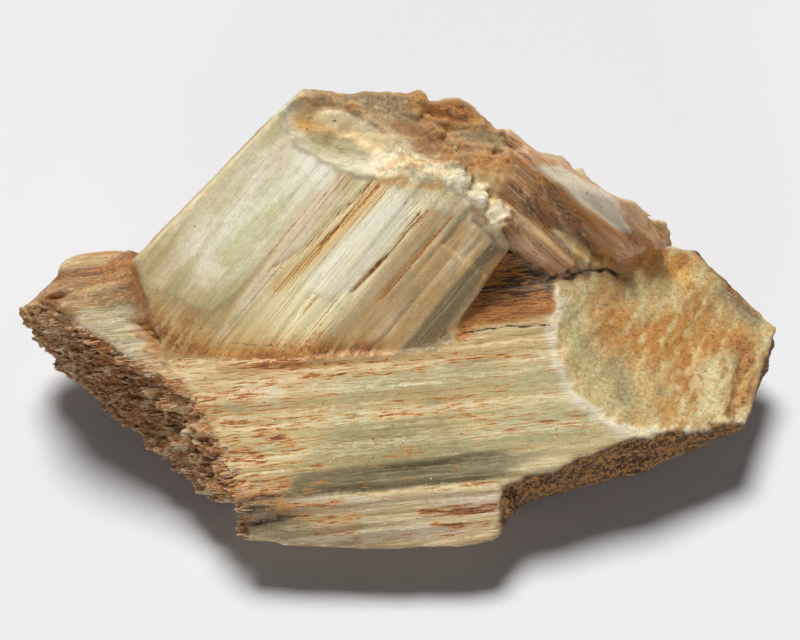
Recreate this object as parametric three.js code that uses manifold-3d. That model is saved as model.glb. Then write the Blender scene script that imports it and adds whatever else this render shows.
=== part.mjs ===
// A diaspore specimen: three prismatic crystals grown through each other, as one solid.
// Millimetres, +Z up. The specimen rests on its flat underside at Z = 0, the long base
// crystal runs along X, and the origin is below the middle of its bounding box.

import * as THREE from "three";
import { ConvexGeometry } from "three/addons/geometries/ConvexGeometry.js";
import { mergeVertices } from "three/addons/utils/BufferGeometryUtils.js";
import Module from "manifold-3d";

const wasm = await Module();
wasm.setup();

// ---------------------------------------------------------------- driving dimensions

// Each crystal has its own axes: s runs along its c axis, w across its broad striated
// face and n out of that face. yaw and pitch turn the c axis, roll turns the face about it.
const BASE = { yaw: 6.5, pitch: 0, roll: 25, origin: [0, -14.4, 6] };
const UPPER = { yaw: 38.5, pitch: 35, roll: 40, origin: [-10.9, -4.6, 11.1] };

// Levels in the layout below, where Z = 0 is near the base crystal's lowest edges.
const UNDERSIDE = -1.6; // the resting face, which the finished group lifts to Z = 0
const RIM_LEVEL = 3.4; // lower edge of the front, which overhangs the resting face
const BACK_REACH = 17.5; // how far the hidden back reaches behind the origin
const HALF_SPACE = 90; // side of the blocks that stand for a half space in a cut

// The broken ends are slightly hollow: a long trough across the base crystal's right
// end, and a shallow bowl in the top of the upper crystal.
const TROUGH = { radius: 30, depth: 0.9, middle: [15.7, -4.15, 9.9], facets: 90 };
const BOWL = { long: 5.4, short: 3, deep: 1.5, middle: [-4.5, 6, 24.1], facets: 24 };

// Splinters stand out of the torn left end, parallel to the c axis of the base crystal.
const SPLINTERS = { count: 34, seed: 11, thick: [0.7, 1.5], reach: [0.4, 1.5], root: 4 };

// ---------------------------------------------------------------- small tools

/** The matrix that carries crystal coordinates (s, w, n) into the specimen. */
function crystalFrame({ yaw, pitch, roll, origin }) {
  const a = THREE.MathUtils.degToRad(yaw);
  const b = THREE.MathUtils.degToRad(pitch);
  const r = THREE.MathUtils.degToRad(roll);
  const along = new THREE.Vector3(
    Math.cos(a) * Math.cos(b),
    Math.sin(a) * Math.cos(b),
    Math.sin(b),
  );
  const level = new THREE.Vector3(-Math.sin(a), Math.cos(a), 0);
  const upright = along.clone().cross(level);
  const across = level.multiplyScalar(Math.cos(r)).addScaledVector(upright, Math.sin(r));
  const outward = along.clone().cross(across);
  return new THREE.Matrix4().makeBasis(along, across, outward).setPosition(...origin);
}

const baseFrame = crystalFrame(BASE);
const upperFrame = crystalFrame(UPPER);

/** A closed three.js geometry as a solid. */
function solidOf(geometry) {
  const bare = new THREE.BufferGeometry();
  bare.setAttribute("position", geometry.getAttribute("position").clone());
  if (geometry.index) bare.setIndex(geometry.index.clone());
  const merged = mergeVertices(bare, 1e-4);
  return new wasm.Manifold(
    new wasm.Mesh({
      numProp: 3,
      vertProperties: new Float32Array(merged.attributes.position.array),
      triVerts: new Uint32Array(merged.index.array),
    }),
  );
}

/** Corners given in a crystal's own axes, as points of the specimen. */
function cornersOf(frame, corners) {
  return corners.map(([s, w, n]) => new THREE.Vector3(s, w, n ?? 0).applyMatrix4(frame));
}

/** Corners given in the specimen's axes. */
function pointsOf(corners) {
  return corners.map((c) => new THREE.Vector3(...c));
}

/** The convex block that spans a set of points. */
function block(points) {
  return solidOf(new ConvexGeometry(points));
}

/** A prism along a crystal's c axis with the outline [w, n], from one s to another. */
function prism(frame, outline, from, to) {
  const shape = new THREE.Shape(outline.map(([w, n]) => new THREE.Vector2(w, n)));
  const bar = new THREE.ExtrudeGeometry(shape, { depth: to - from, bevelEnabled: false });
  const axes = new THREE.Matrix4().makeBasis(
    new THREE.Vector3(0, 1, 0),
    new THREE.Vector3(0, 0, 1),
    new THREE.Vector3(1, 0, 0),
  );
  bar.translate(0, 0, from).applyMatrix4(axes).applyMatrix4(frame);
  return solidOf(bar);
}

/** Everything on the outer side of the plane through three points. */
function beyondPlane([a, b, c], insidePoint) {
  const plane = new THREE.Plane().setFromCoplanarPoints(a, b, c);
  if (plane.distanceToPoint(insidePoint) > 0) plane.negate();
  const box = new THREE.BoxGeometry(HALF_SPACE, HALF_SPACE, HALF_SPACE);
  box.translate(0, 0, HALF_SPACE / 2);
  const turn = new THREE.Quaternion().setFromUnitVectors(
    new THREE.Vector3(0, 0, 1),
    plane.normal,
  );
  box.applyQuaternion(turn);
  box.translate(a.x, a.y, a.z);
  return solidOf(box);
}

/** All solids of a list joined in one. */
function joined(solids) {
  return solids.reduce((sum, solid) => sum.add(solid));
}

// ---------------------------------------------------------------- shared corners

// The ridge where the broad face of the base crystal meets its broken end.
const RIDGE_LOW = [19.1, 2.9];
const RIDGE_TOP = [14.2, 16];

const terminationCorners = pointsOf([
  [27.6, -6.4, 4.7],
  [31, 3.1, 5.2],
  [28.8, 4.8, 6.9],
  [24.6, 7.7, 9.6],
  [20.7, 7.2, 11],
]);

// ---------------------------------------------------------------- base crystal

/** The long crystal below: broad striated face, broken termination at its right end. */
function baseCrystal() {
  const face = cornersOf(baseFrame, [
    [-12.2, 0.9],
    [7.8, 0.1],
    RIDGE_LOW,
    RIDGE_TOP,
    [12, 22],
    [-17, 20],
    [-15.4, 9.6],
  ]);
  const rim = pointsOf([
    [-14.5, -12.6, 2.8],
    [-19.2, -7.5, 2.5],
    [10.2, -12.8, RIM_LEVEL],
    [17.3, -11, RIM_LEVEL],
    [27.6, -6.4, 3.9],
    [31, 2.7, 3.6],
    [24.5, 9, 5],
    [18, 13, 5],
  ]);
  const underside = pointsOf([
    [-17, -5, UNDERSIDE],
    [-12, -9, UNDERSIDE],
    [8, -10, UNDERSIDE],
    [17, -5.5, UNDERSIDE],
    [22, 0, UNDERSIDE],
    [19, 8, UNDERSIDE],
    [8, 13, UNDERSIDE],
    [-12, 12, UNDERSIDE],
    [-18, 6, UNDERSIDE],
  ]);
  const whole = block([...face, ...terminationCorners, ...rim, ...underside]);
  return whole.subtract(terminationTrough());
}

/** The round bar that hollows the broken end, running down the slope of that end. */
function terminationTrough() {
  const [low, top] = cornersOf(baseFrame, [RIDGE_LOW, RIDGE_TOP]);
  const ridge = top.clone().sub(low).normalize();
  const outer = terminationCorners[0].clone().sub(low);
  const normal = outer.cross(ridge).normalize();
  const slope = ridge.clone().cross(normal).normalize();
  const bar = new THREE.CylinderGeometry(
    TROUGH.radius,
    TROUGH.radius,
    HALF_SPACE,
    TROUGH.facets,
  );
  const upright = new THREE.Vector3(0, 1, 0);
  bar.applyQuaternion(new THREE.Quaternion().setFromUnitVectors(upright, slope));
  const middle = new THREE.Vector3(...TROUGH.middle);
  middle.addScaledVector(normal, TROUGH.radius - TROUGH.depth);
  bar.translate(middle.x, middle.y, middle.z);
  return solidOf(bar);
}

/** The lamella that steps forward below the broad face and stops short on the right. */
function frontLedge() {
  return block([
    ...cornersOf(baseFrame, [
      [-12.4, 1.2],
      [7.8, 0.1],
      [7.8, 3, -1],
      [-12.1, -1.9, -2.2],
      [-8, -2.8, -1.8],
      [-0.3, -3.9, -1.2],
      [5, -4.2, -0.9],
      [7.1, -4, -0.8],
    ]),
    ...pointsOf([
      [10, -12.8, RIM_LEVEL],
      [-13, -9, 1],
      [6, -9, 1],
    ]),
  ]);
}

/** The left arm of the base crystal, which dips towards its broken tip. */
function leftArm() {
  const arm = block([
    ...cornersOf(baseFrame, [
      [-14.3, 8.2],
      [-19.7, 13.9],
      [-22, 16],
      [-26.6, 18.3, -0.4],
      [-24.9, 20.6, -1.4],
      [-18.8, 21.4, -0.4],
      [-8, 22],
      [-8, 8],
    ]),
    ...pointsOf([
      [-30.5, 3.3, 8],
      [-30.9, 3.7, 5],
      [-28.1, 1.4, 2.5],
      [-23.6, -2.4, 2.5],
      [-19.2, -7.5, 2.5],
      [-28, 7.5, 4.5],
      [-14, 12, 3.5],
      [-19, -3, UNDERSIDE],
      [-21, 4, UNDERSIDE],
      [-14, 9, UNDERSIDE],
      [-12, -6, UNDERSIDE],
    ]),
  ]);
  const lobe = block(
    pointsOf([
      [-27.4, 2.2, 12.6],
      [-28.6, 1.6, 10],
      [-21.2, 2.4, 15.8],
      [-20.4, -0.1, 15.7],
      [-19.4, -3, 12.9],
      [-27, -0.8, 12.4],
      [-16, 2, 12],
      [-24, 6, 8],
      [-27, 5, 8],
      [-18, 6, 9],
      [-16, -4.2, 11.4],
    ]),
  );
  return arm.add(lobe);
}

/** Numbers from 0 to 1 in a fixed order that depends only on the seed. */
function seededNumbers(seed) {
  let state = seed;
  return () => {
    state = (state * 1103515245 + 12345) % 2147483648;
    return state / 2147483648;
  };
}

/** Short bars parallel to the c axis that stand out of the torn left end. */
function tornSplinters() {
  const next = seededNumbers(SPLINTERS.seed);
  const between = ([low, high]) => low + (high - low) * next();
  const upperEdge = cornersOf(baseFrame, [
    [-12.6, 1.4, -0.6],
    [-15, 8.4, -0.6],
    [-21.4, 15.2, -0.6],
    [-26.6, 17.6, -1.6],
  ]);
  const lowerEdge = pointsOf([
    [-14, -11.8, 3],
    [-18.6, -7.2, 3],
    [-23.4, -2.2, 3.2],
    [-28.6, 2, 4.4],
  ]);
  const bars = [];
  for (let i = 0; i < SPLINTERS.count; i++) {
    const place = next() * (upperEdge.length - 1);
    const span = Math.floor(place);
    const share = place - span;
    const top = upperEdge[span].clone().lerp(upperEdge[span + 1], share);
    const foot = lowerEdge[span].clone().lerp(lowerEdge[span + 1], share);
    const centre = top.lerp(foot, next());
    const wide = between(SPLINTERS.thick) / 2;
    const high = between(SPLINTERS.thick) / 2;
    const reach = between(SPLINTERS.reach);
    const slant = between([-0.5, 0.5]);
    const corners = [
      [-reach - slant, -wide, -high],
      [-reach + slant, wide, -high],
      [-reach, wide, high],
      [-reach - slant, -wide, high],
      [SPLINTERS.root, -wide, -high],
      [SPLINTERS.root, wide, -high],
      [SPLINTERS.root, wide, high],
      [SPLINTERS.root, -wide, high],
    ];
    const bar = { ...BASE, origin: centre.toArray() };
    bars.push(block(cornersOf(crystalFrame(bar), corners)));
  }
  return joined(bars);
}

// ---------------------------------------------------------------- upper crystal

/** The sloping plane on which the upper crystal and the mass behind it end. */
const topPlane = pointsOf([
  [0, 5.4, 22.5],
  [-8.9, 7.7, 26.1],
  [0.8, 10, 23.5],
]);

/** The big crystal that leans back to the right, with its bevelled right edge. */
function upperCrystal() {
  const outline = [
    [12.6, 0],
    [11, -8.5],
    [-7, -8.5],
    [-11, -2.2],
    [-11, -0.5],
    [-8.1, 0],
  ];
  const bar = prism(upperFrame, outline, -6, 24);
  const inside = cornersOf(upperFrame, [[5, 2, -3]])[0];
  const sides = [
    // left side face
    cornersOf(upperFrame, [
      [-0.1, 12.3],
      [16.1, 10.9],
      [8, 11.2, -8],
    ]),
    // undercut right side face
    cornersOf(upperFrame, [
      [19.6, -9.7, -0.4],
      [9.6, -10.7, -0.4],
      [14, -9.4, -5],
    ]),
    // broken corner at the top right
    cornersOf(upperFrame, [
      [20.2, -7.3],
      [19.2, -10],
      [19.6, -7, -3],
    ]),
    // step down to the left arm
    pointsOf([
      [-20.4, -0.1, 17.5],
      [-19, -3.3, 13.6],
      [-21.2, -0.2, 12],
    ]),
    // broken back
    pointsOf([
      [-8, 9.8, 26],
      [-1, 10.9, 24],
      [-9, 15.5, 8],
    ]),
    topPlane,
  ];
  const cuts = sides.map((side) => beyondPlane(side, inside));
  return [...cuts, topBowl()].reduce((rest, cut) => rest.subtract(cut), bar);
}

/** The long round bowl that hollows the top of the upper crystal. */
function topBowl() {
  const [first, second] = topPlane;
  const plane = new THREE.Plane().setFromCoplanarPoints(...topPlane);
  const lengthwise = second.clone().sub(first).normalize();
  const sideways = plane.normal.clone().cross(lengthwise);
  const bowl = new THREE.SphereGeometry(1, BOWL.facets, BOWL.facets / 2);
  bowl.scale(BOWL.long, BOWL.short, BOWL.deep);
  bowl.applyMatrix4(
    new THREE.Matrix4()
      .makeBasis(lengthwise, sideways, plane.normal)
      .setPosition(...BOWL.middle),
  );
  return solidOf(bowl);
}

// ---------------------------------------------------------------- rear crystal

/** The third crystal, which comes down to the right in three sub-prisms. */
function rearCrystal() {
  const back = block(
    pointsOf([
      [8.6, 9.3, 21.3],
      [12.6, 7.9, 19.3],
      [15.8, 7.1, 17.5],
      [19.1, 6.9, 16],
      [21.4, 6.7, 14.4],
      [21.9, 6, 12.2],
      [11.3, 6.4, 19.5],
      [17.2, 5.7, 14.6],
      [15.8, 4.9, 13.3],
      [10.2, 5.7, 18.8],
      [19, 5.4, 11.8],
      [12, 14, 6],
      [19, 10.5, 7],
      [12, 5, 11],
    ]),
  );
  const front = block(
    pointsOf([
      [8.9, 4.9, 19],
      [14.1, 3.4, 13],
      [14.4, 3.2, 12],
      [8.4, 3, 17.8],
      [11.7, 2.6, 13.2],
      [13, 1.9, 12.4],
      [11, 7, 18],
      [16, 6, 11],
      [9.5, 6.5, 15],
    ]),
  );
  const slender = block(
    pointsOf([
      [12.3, 4.8, 15.6],
      [14.9, 3, 12.9],
      [13.6, 3.4, 13],
      [15, 2.8, 12],
      [15.6, 4.4, 12.6],
      [13.2, 5.6, 15],
      [15, 5, 11],
    ]),
  );
  return joined([back, front, slender]);
}

/** The mass behind and between the crystals: three blocks that step along the back. */
function rearMass() {
  const left = block(
    pointsOf([
      [-8.3, 9.6, 25.6],
      [-0.8, 10.6, 24],
      [-1, 4, 20],
      [-15, 12.5, 3.5],
      [-9, 16, 4],
      [-0.5, 16.2, 3.5],
      [-17, 7, 12],
      [-19, 9, 6],
      [-12, 11, UNDERSIDE],
      [-3, 13, UNDERSIDE],
      [-10, 0, 8],
      [0, 2, 8],
    ]),
  );
  const middle = block(
    pointsOf([
      [-2, 10, 24],
      [4.3, 11.2, 23],
      [9.2, 9.5, 20.9],
      [9, 5.4, 18.8],
      [8.2, 4.2, 18.6],
      [1.5, 5.4, 21],
      [-3, 16.8, 6],
      [-2, BACK_REACH, 3],
      [7, BACK_REACH, 3],
      [9.5, 15.5, 8],
      [-3, 13.5, UNDERSIDE],
      [8, 14, UNDERSIDE],
      [0, 4, 8],
      [10, 6.5, 10],
    ]),
  );
  const right = block(
    pointsOf([
      [6, 9.6, 21],
      [18, 7.5, 15],
      [8, 14.6, 9],
      [8, 15.8, 3],
      [18.5, 12.6, 3],
      [20.5, 10, 7],
      [8, 13.4, UNDERSIDE],
      [17, 9.5, UNDERSIDE],
      [8, 4, 8],
      [18, 3, 5],
    ]),
  );
  return joined([left, middle, right]);
}

/** Two cleavage plates that lie against the back, along the upper crystal's c axis. */
function backPlates() {
  const thick = [
    [9.5, -6],
    [9, -10.4],
    [2.5, -11.6],
    [2, -6],
  ];
  const thin = [
    [3.5, -6],
    [3, -12.6],
    [-3.5, -12.4],
    [-5, -6],
  ];
  return joined([
    prism(upperFrame, thick, -8, 11.5),
    prism(upperFrame, thin, -4, 6.5),
  ]);
}

/** Small cleavage blocks wedged where the upper and the rear crystal meet. */
function wedgedBlocks() {
  const sizes = [
    { middle: [7.6, 3.4, 18.2], side: [1.9, 1.6, 1.7], turn: 20 },
    { middle: [8.6, 3.4, 17.2], side: [1.3, 1.3, 1.4], turn: -25 },
    { middle: [6.4, 4.4, 19.2], side: [1.8, 1.8, 1.6], turn: 50 },
  ];
  return joined(
    sizes.map(({ middle, side, turn }) => {
      const cube = new THREE.BoxGeometry(...side);
      cube.rotateX(THREE.MathUtils.degToRad(turn));
      cube.rotateZ(THREE.MathUtils.degToRad(turn));
      cube.translate(...middle);
      return solidOf(cube);
    }),
  );
}

// ---------------------------------------------------------------- the specimen

const crystalStone = new THREE.MeshStandardMaterial({
  color: 0xc9bd93,
  roughness: 0.55,
  metalness: 0,
});

/** The joined solid, cut off level at its resting face, as a named mesh. */
function specimenMesh(solid) {
  const floor = beyondPlane(
    pointsOf([
      [0, 0, UNDERSIDE],
      [1, 0, UNDERSIDE],
      [0, 1, UNDERSIDE],
    ]),
    new THREE.Vector3(0, 0, 1),
  );
  const mesh = solid.subtract(floor).getMesh();
  const geometry = new THREE.BufferGeometry();
  geometry.setAttribute("position", new THREE.BufferAttribute(mesh.vertProperties, 3));
  geometry.setIndex(new THREE.BufferAttribute(mesh.triVerts, 1));
  geometry.computeVertexNormals();
  const specimen = new THREE.Mesh(geometry, crystalStone);
  specimen.name = "diaspore_crystal";
  return specimen;
}

const group = new THREE.Group();
group.add(
  specimenMesh(
    joined([
      baseCrystal(),
      frontLedge(),
      leftArm(),
      tornSplinters(),
      upperCrystal(),
      rearCrystal(),
      rearMass(),
      backPlates(),
      wedgedBlocks(),
    ]),
  ),
);

group.position.z = -UNDERSIDE;

export default group;
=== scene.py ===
"""A diaspore specimen dressed for a plain studio picture.

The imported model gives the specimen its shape. This script refines that shape into natural stone:
cleavage steps, striations, torn fibres and lumps are carved into a fine mesh, stains are brushed
onto its faces, and one procedural stone finish turns both into colour and gloss. Lengths are in
millimetres wherever a name doesn't say metres; meshes are scaled to metres when they are done.
"""

import itertools
import logging
import math
from dataclasses import dataclass, field
from enum import Enum

import bmesh
import bpy
import numpy as np
from mathutils import Matrix, Vector
from mathutils.bvhtree import BVHTree


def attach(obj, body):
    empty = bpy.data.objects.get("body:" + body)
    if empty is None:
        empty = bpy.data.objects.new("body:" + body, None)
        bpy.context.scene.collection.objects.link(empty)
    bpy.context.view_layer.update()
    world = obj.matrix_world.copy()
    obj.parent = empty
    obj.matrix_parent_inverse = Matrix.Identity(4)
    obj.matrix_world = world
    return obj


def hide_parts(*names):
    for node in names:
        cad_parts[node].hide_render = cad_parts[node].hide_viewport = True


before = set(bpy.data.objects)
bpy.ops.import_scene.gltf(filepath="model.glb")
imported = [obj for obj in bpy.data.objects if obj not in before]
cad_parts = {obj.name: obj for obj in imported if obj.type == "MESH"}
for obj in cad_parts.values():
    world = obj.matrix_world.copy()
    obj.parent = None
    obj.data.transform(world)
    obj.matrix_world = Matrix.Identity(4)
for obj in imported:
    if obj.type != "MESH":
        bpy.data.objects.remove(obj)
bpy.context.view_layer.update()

NODE = "diaspore_crystal"
BODY = "root"
METRE = 0.001  # one millimetre in metres

Array = np.ndarray
Socket = bpy.types.NodeSocket
Point = tuple[float, ...]
Line = tuple[Point, ...]
Colour = tuple[float, float, float]

log = logging.getLogger("specimen")


# ---- fields and curves


class Noise:
    """Repeatable lattice noise: one seed always gives the same field."""

    PRIMES = np.array([73856093, 19349663, 83492791], dtype=np.uint64)
    MIX = np.uint64(0xFF51AFD7ED558CCD)
    TOP_BITS = 2.0**53

    def __init__(self, seed: int) -> None:
        """Keep the seed."""
        self.seed = np.uint64(seed * 7919 + 17)

    def corner(self, cells: Array, salt: int = 0) -> Array:
        """Random numbers from 0 to 1, one for each lattice cell.

        Args:
            cells: Whole-number cell coordinates, one row a cell.
            salt: Picks another number for the same cell.

        Returns:
            One number a row.
        """
        whole = cells.astype(np.int64).astype(np.uint64)
        mixed = (whole * self.PRIMES[: cells.shape[1]]).sum(axis=1)
        mixed = mixed + self.seed + np.uint64(salt * 104729)
        mixed ^= mixed >> np.uint64(33)
        mixed *= self.MIX
        mixed ^= mixed >> np.uint64(33)
        return (mixed >> np.uint64(11)).astype(float) / self.TOP_BITS

    def smooth(self, points: Array) -> Array:
        """Smooth noise from -1 to 1 with about one bump a unit.

        Args:
            points: Coordinates, one row a point, in one to three dimensions.

        Returns:
            One number a row.
        """
        low = np.floor(points)
        share = points - low
        share = share * share * (3 - 2 * share)
        total = np.zeros(len(points))
        for step in itertools.product((0, 1), repeat=points.shape[1]):
            weight = np.prod(np.where(step, share, 1 - share), axis=1)
            total += weight * self.corner(low + step)
        return 2 * total - 1

    def layered(self, points: Array, layers: int = 4, gain: float = 0.5) -> Array:
        """Smooth noise in several layers, each half the size of the last.

        Args:
            points: Coordinates, one row a point.
            layers: How many layers are summed.
            gain: Strength of each layer against the last.

        Returns:
            Numbers of about -1 to 1.
        """
        total = np.zeros(len(points))
        strength = 1.0
        whole = 0.0
        for layer in range(layers):
            total += strength * self.smooth(points * 2.0**layer + 13.7 * layer)
            whole += strength
            strength *= gain
        return total / whole

    def cells(self, points: Array) -> tuple[Array, Array]:
        """Irregular cells with about one cell a unit.

        Args:
            points: Coordinates, one row a point, in two or three dimensions.

        Returns:
            How far each point is from the border of its cell, and a number from 0 to 1 that
            belongs to the cell.
        """
        low = np.floor(points)
        best = np.full(len(points), 9.0)
        second = np.full(len(points), 9.0)
        owner = np.zeros(len(points))
        for step in itertools.product((-1, 0, 1), repeat=points.shape[1]):
            cell = low + step
            jitter = [self.corner(cell, salt + 1) for salt in range(points.shape[1])]
            away = np.linalg.norm(points - cell - np.stack(jitter, axis=1), axis=1)
            nearer = away < best
            second = np.where(nearer, best, np.minimum(second, away))
            owner = np.where(nearer, self.corner(cell, 9), owner)
            best = np.where(nearer, away, best)
        return second - best, owner


def ramp(values: Array, low: float, high: float) -> Array:
    """A smooth rise from 0 at low to 1 at high; it falls if low is the larger."""
    share = np.clip((values - low) / (high - low), 0, 1)
    return share * share * (3 - 2 * share)


def noise(seed: int, places: Array, scale: Point | float, layers: int = 4, gain: float = 0.5) -> Array:
    """Layered noise at places that are stretched by a scale on each axis."""
    return Noise(seed).layered(places * scale, layers, gain)


def striae(seed: int, places: Array, period: float, length: float) -> Array:
    """Long sharp ridges along the grain, from -1 to 1, by their spacing and their length."""
    scale = (1 / length,) + (1 / period,) * (places.shape[1] - 1)
    return 1 - 2 * np.abs(noise(seed, places, scale, 3, 0.6)) ** 0.7


def terraces(values: Array, levels: float) -> Array:
    """Values broken into flat steps, with a narrow riser between two whole numbers."""
    tread = np.floor(values * levels)
    return tread + ramp(values * levels - tread, 0.8, 1.0)


def distance_to_line(places: Array, line: Line) -> Array:
    """How far places on a face are from a broken line.

    Args:
        places: Places on the face.
        line: The corners of the line, or a single spot.

    Returns:
        One distance a row.
    """
    corners = [np.array(corner, float) for corner in line]
    best = np.linalg.norm(places - corners[0], axis=1)
    for start, end in zip(corners, corners[1:]):
        run = end - start
        share = np.clip((places - start) @ run / (run @ run), 0, 1)
        best = np.minimum(best, np.linalg.norm(places - start - share[:, None] * run, axis=1))
    return best


def depth_inside(places: Array, outline: Line) -> Array:
    """How deep places on a face lie inside an outline: negative outside it.

    Args:
        places: Places on the face.
        outline: The corners of the outline.

    Returns:
        One signed distance a row.
    """
    inside = np.zeros(len(places), bool)
    closed = outline + outline[:1]
    for (s0, w0), (s1, w1) in zip(closed, closed[1:]):
        crosses = (w0 > places[:, 1]) != (w1 > places[:, 1])
        rise = w1 - w0 if w1 != w0 else 1e-9
        inside ^= crosses & (places[:, 0] < s0 + (places[:, 1] - w0) * (s1 - s0) / rise)
    away = distance_to_line(places, closed)
    return np.where(inside, away, -away)


@dataclass(frozen=True)
class Axes:
    """Axes of a crystal or a face: s along its grain, w across it, n out of the face.

    Yaw turns the grain about the vertical, pitch lifts it and roll turns the face about it, all in
    degrees. The origin is in millimetres.
    """

    yaw: float
    pitch: float
    roll: float
    origin: Point

    @property
    def basis(self) -> Array:
        """The three unit directions s, w and n, one row each."""
        yaw, pitch, roll = (math.radians(a) for a in (self.yaw, self.pitch, self.roll))
        level_run = math.cos(pitch)
        run = np.array([math.cos(yaw) * level_run, math.sin(yaw) * level_run, math.sin(pitch)])
        level = np.array([-math.sin(yaw), math.cos(yaw), 0.0])
        across = level * math.cos(roll) + np.cross(run, level) * math.sin(roll)
        return np.stack([run, across, np.cross(run, across)])

    def local(self, points: Array) -> Array:
        """Points of the specimen in these axes, one row (s, w, n) each."""
        return (points - np.array(self.origin)) @ self.basis.T


BASE_AXES = Axes(6.5, 0, 25, (0, -14.4, 7.6))
UPPER_AXES = Axes(38.5, 35, 40, (-10.9, -4.6, 12.7))
REAR_AXES = Axes(-22, -39.5, 20, (11.3, 6.2, 21.2))
END_AXES = Axes(54, 0, 25.3, (12.7, 1.4, 14.2))
TOP_AXES = Axes(50.4, 0, 23.4, (0, 5.4, 24.1))


# where the arm is torn away from the broad face, as (s, w) on the base crystal
ARM_CREASE: Line = ((-18.8, 21.2), (-18.6, 18.3), (-18, 15.8), (-16.9, 14.5))
# the crack that runs along the notch, as (s, w) on the broken right end
NOTCH_CRACK: Line = ((8.3, -14.6), (5.9, -15.9), (4.1, -16.6), (2.8, -16.9))
# the long crease along the top of the broad face
LONG_CREASE: Line = ((-16.9, 14.5), (-14.3, 13.3), (-9.7, 12.1), (-4.3, 11.9), (4.4, 11.6))


@dataclass(frozen=True)
class Stroke:
    """A soft brush line or spot on a face.

    The line is the points it runs through, as (s, w) on the face, the width half its width in
    millimetres, and the strength its weight at the middle.
    """

    line: Line
    width: float
    strength: float = 1.0

    def at(self, places: Array) -> Array:
        """Its weight at places on the face."""
        away = distance_to_line(places, self.line) / self.width
        return self.strength * np.exp(-(away**2))


def brushed(places: Array, *strokes: tuple) -> Array:
    """The combined weight of several strokes, at most 1.

    Args:
        places: Places on the face.
        *strokes: The line, width and strength of each, all on the same face.

    Returns:
        One weight a row.
    """
    bare = np.ones(len(places))
    for stroke in strokes:
        bare *= 1 - np.clip(Stroke(*stroke).at(places), 0, 1)
    return 1 - bare


@dataclass(frozen=True)
class Shelf:
    """A raised or sunk cleavage slab with a sharp step round it.

    The outline is its corners, as (s, w) on the face. Below a height of 0 it is sunk.
    """

    outline: Line
    height: float
    edge: float = 0.12

    def rise(self, places: Array) -> Array:
        """How far it lifts places on the face."""
        return self.height * ramp(depth_inside(places, self.outline), -self.edge, self.edge)


@dataclass(frozen=True)
class Lump:
    """A block grown into the stone.

    Centre and size, which is half its length, are (s, w, n) in the axes it follows. Squareness is
    2 for a round block and more for one with flat sides.
    """

    centre: Point
    size: Point
    axes: Axes
    squareness: float = 2.0

    def add_to(self, mesh: bpy.types.Mesh) -> None:
        """Add it to a mesh.

        Args:
            mesh: The mesh, in millimetres.
        """
        middle = np.array(self.axes.origin) + np.array(self.centre) @ self.axes.basis
        turn = Matrix((self.axes.basis.T * np.array(self.size)).tolist()).to_4x4()
        joined = bmesh.new()
        bmesh.ops.create_icosphere(joined, subdivisions=4, radius=1.0)
        for corner in joined.verts:
            reach = sum(abs(share) ** self.squareness for share in corner.co)
            corner.co /= reach ** (1 / self.squareness)
        joined.transform(Matrix.Translation(middle.tolist()) @ turn)
        joined.from_mesh(mesh)
        joined.to_mesh(mesh)
        joined.free()


# ---- the faces of the specimen


class Face(Enum):
    """The kinds of surface that the specimen shows."""

    MASS = "rusty mass between the crystals"
    UNDERSIDE = "resting face"
    BROAD = "broad face of the base crystal"
    ARM = "left arm of the base crystal"
    LEDGE = "lamella in front of the broad face"
    END = "broken right end of the base crystal"
    UPPER = "broad face of the upper crystal"
    BEVEL = "bevel on the right of the upper crystal"
    TOP = "broken top of the upper crystal"
    SIDE = "side faces of the upper crystal"
    TORN = "torn left end"
    WALL = "rough wall below the front"
    NOTCH = "rough notch at the right tip"
    REAR = "rear crystal"
    BACK = "hidden back"


FACES = tuple(Face)


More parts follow.
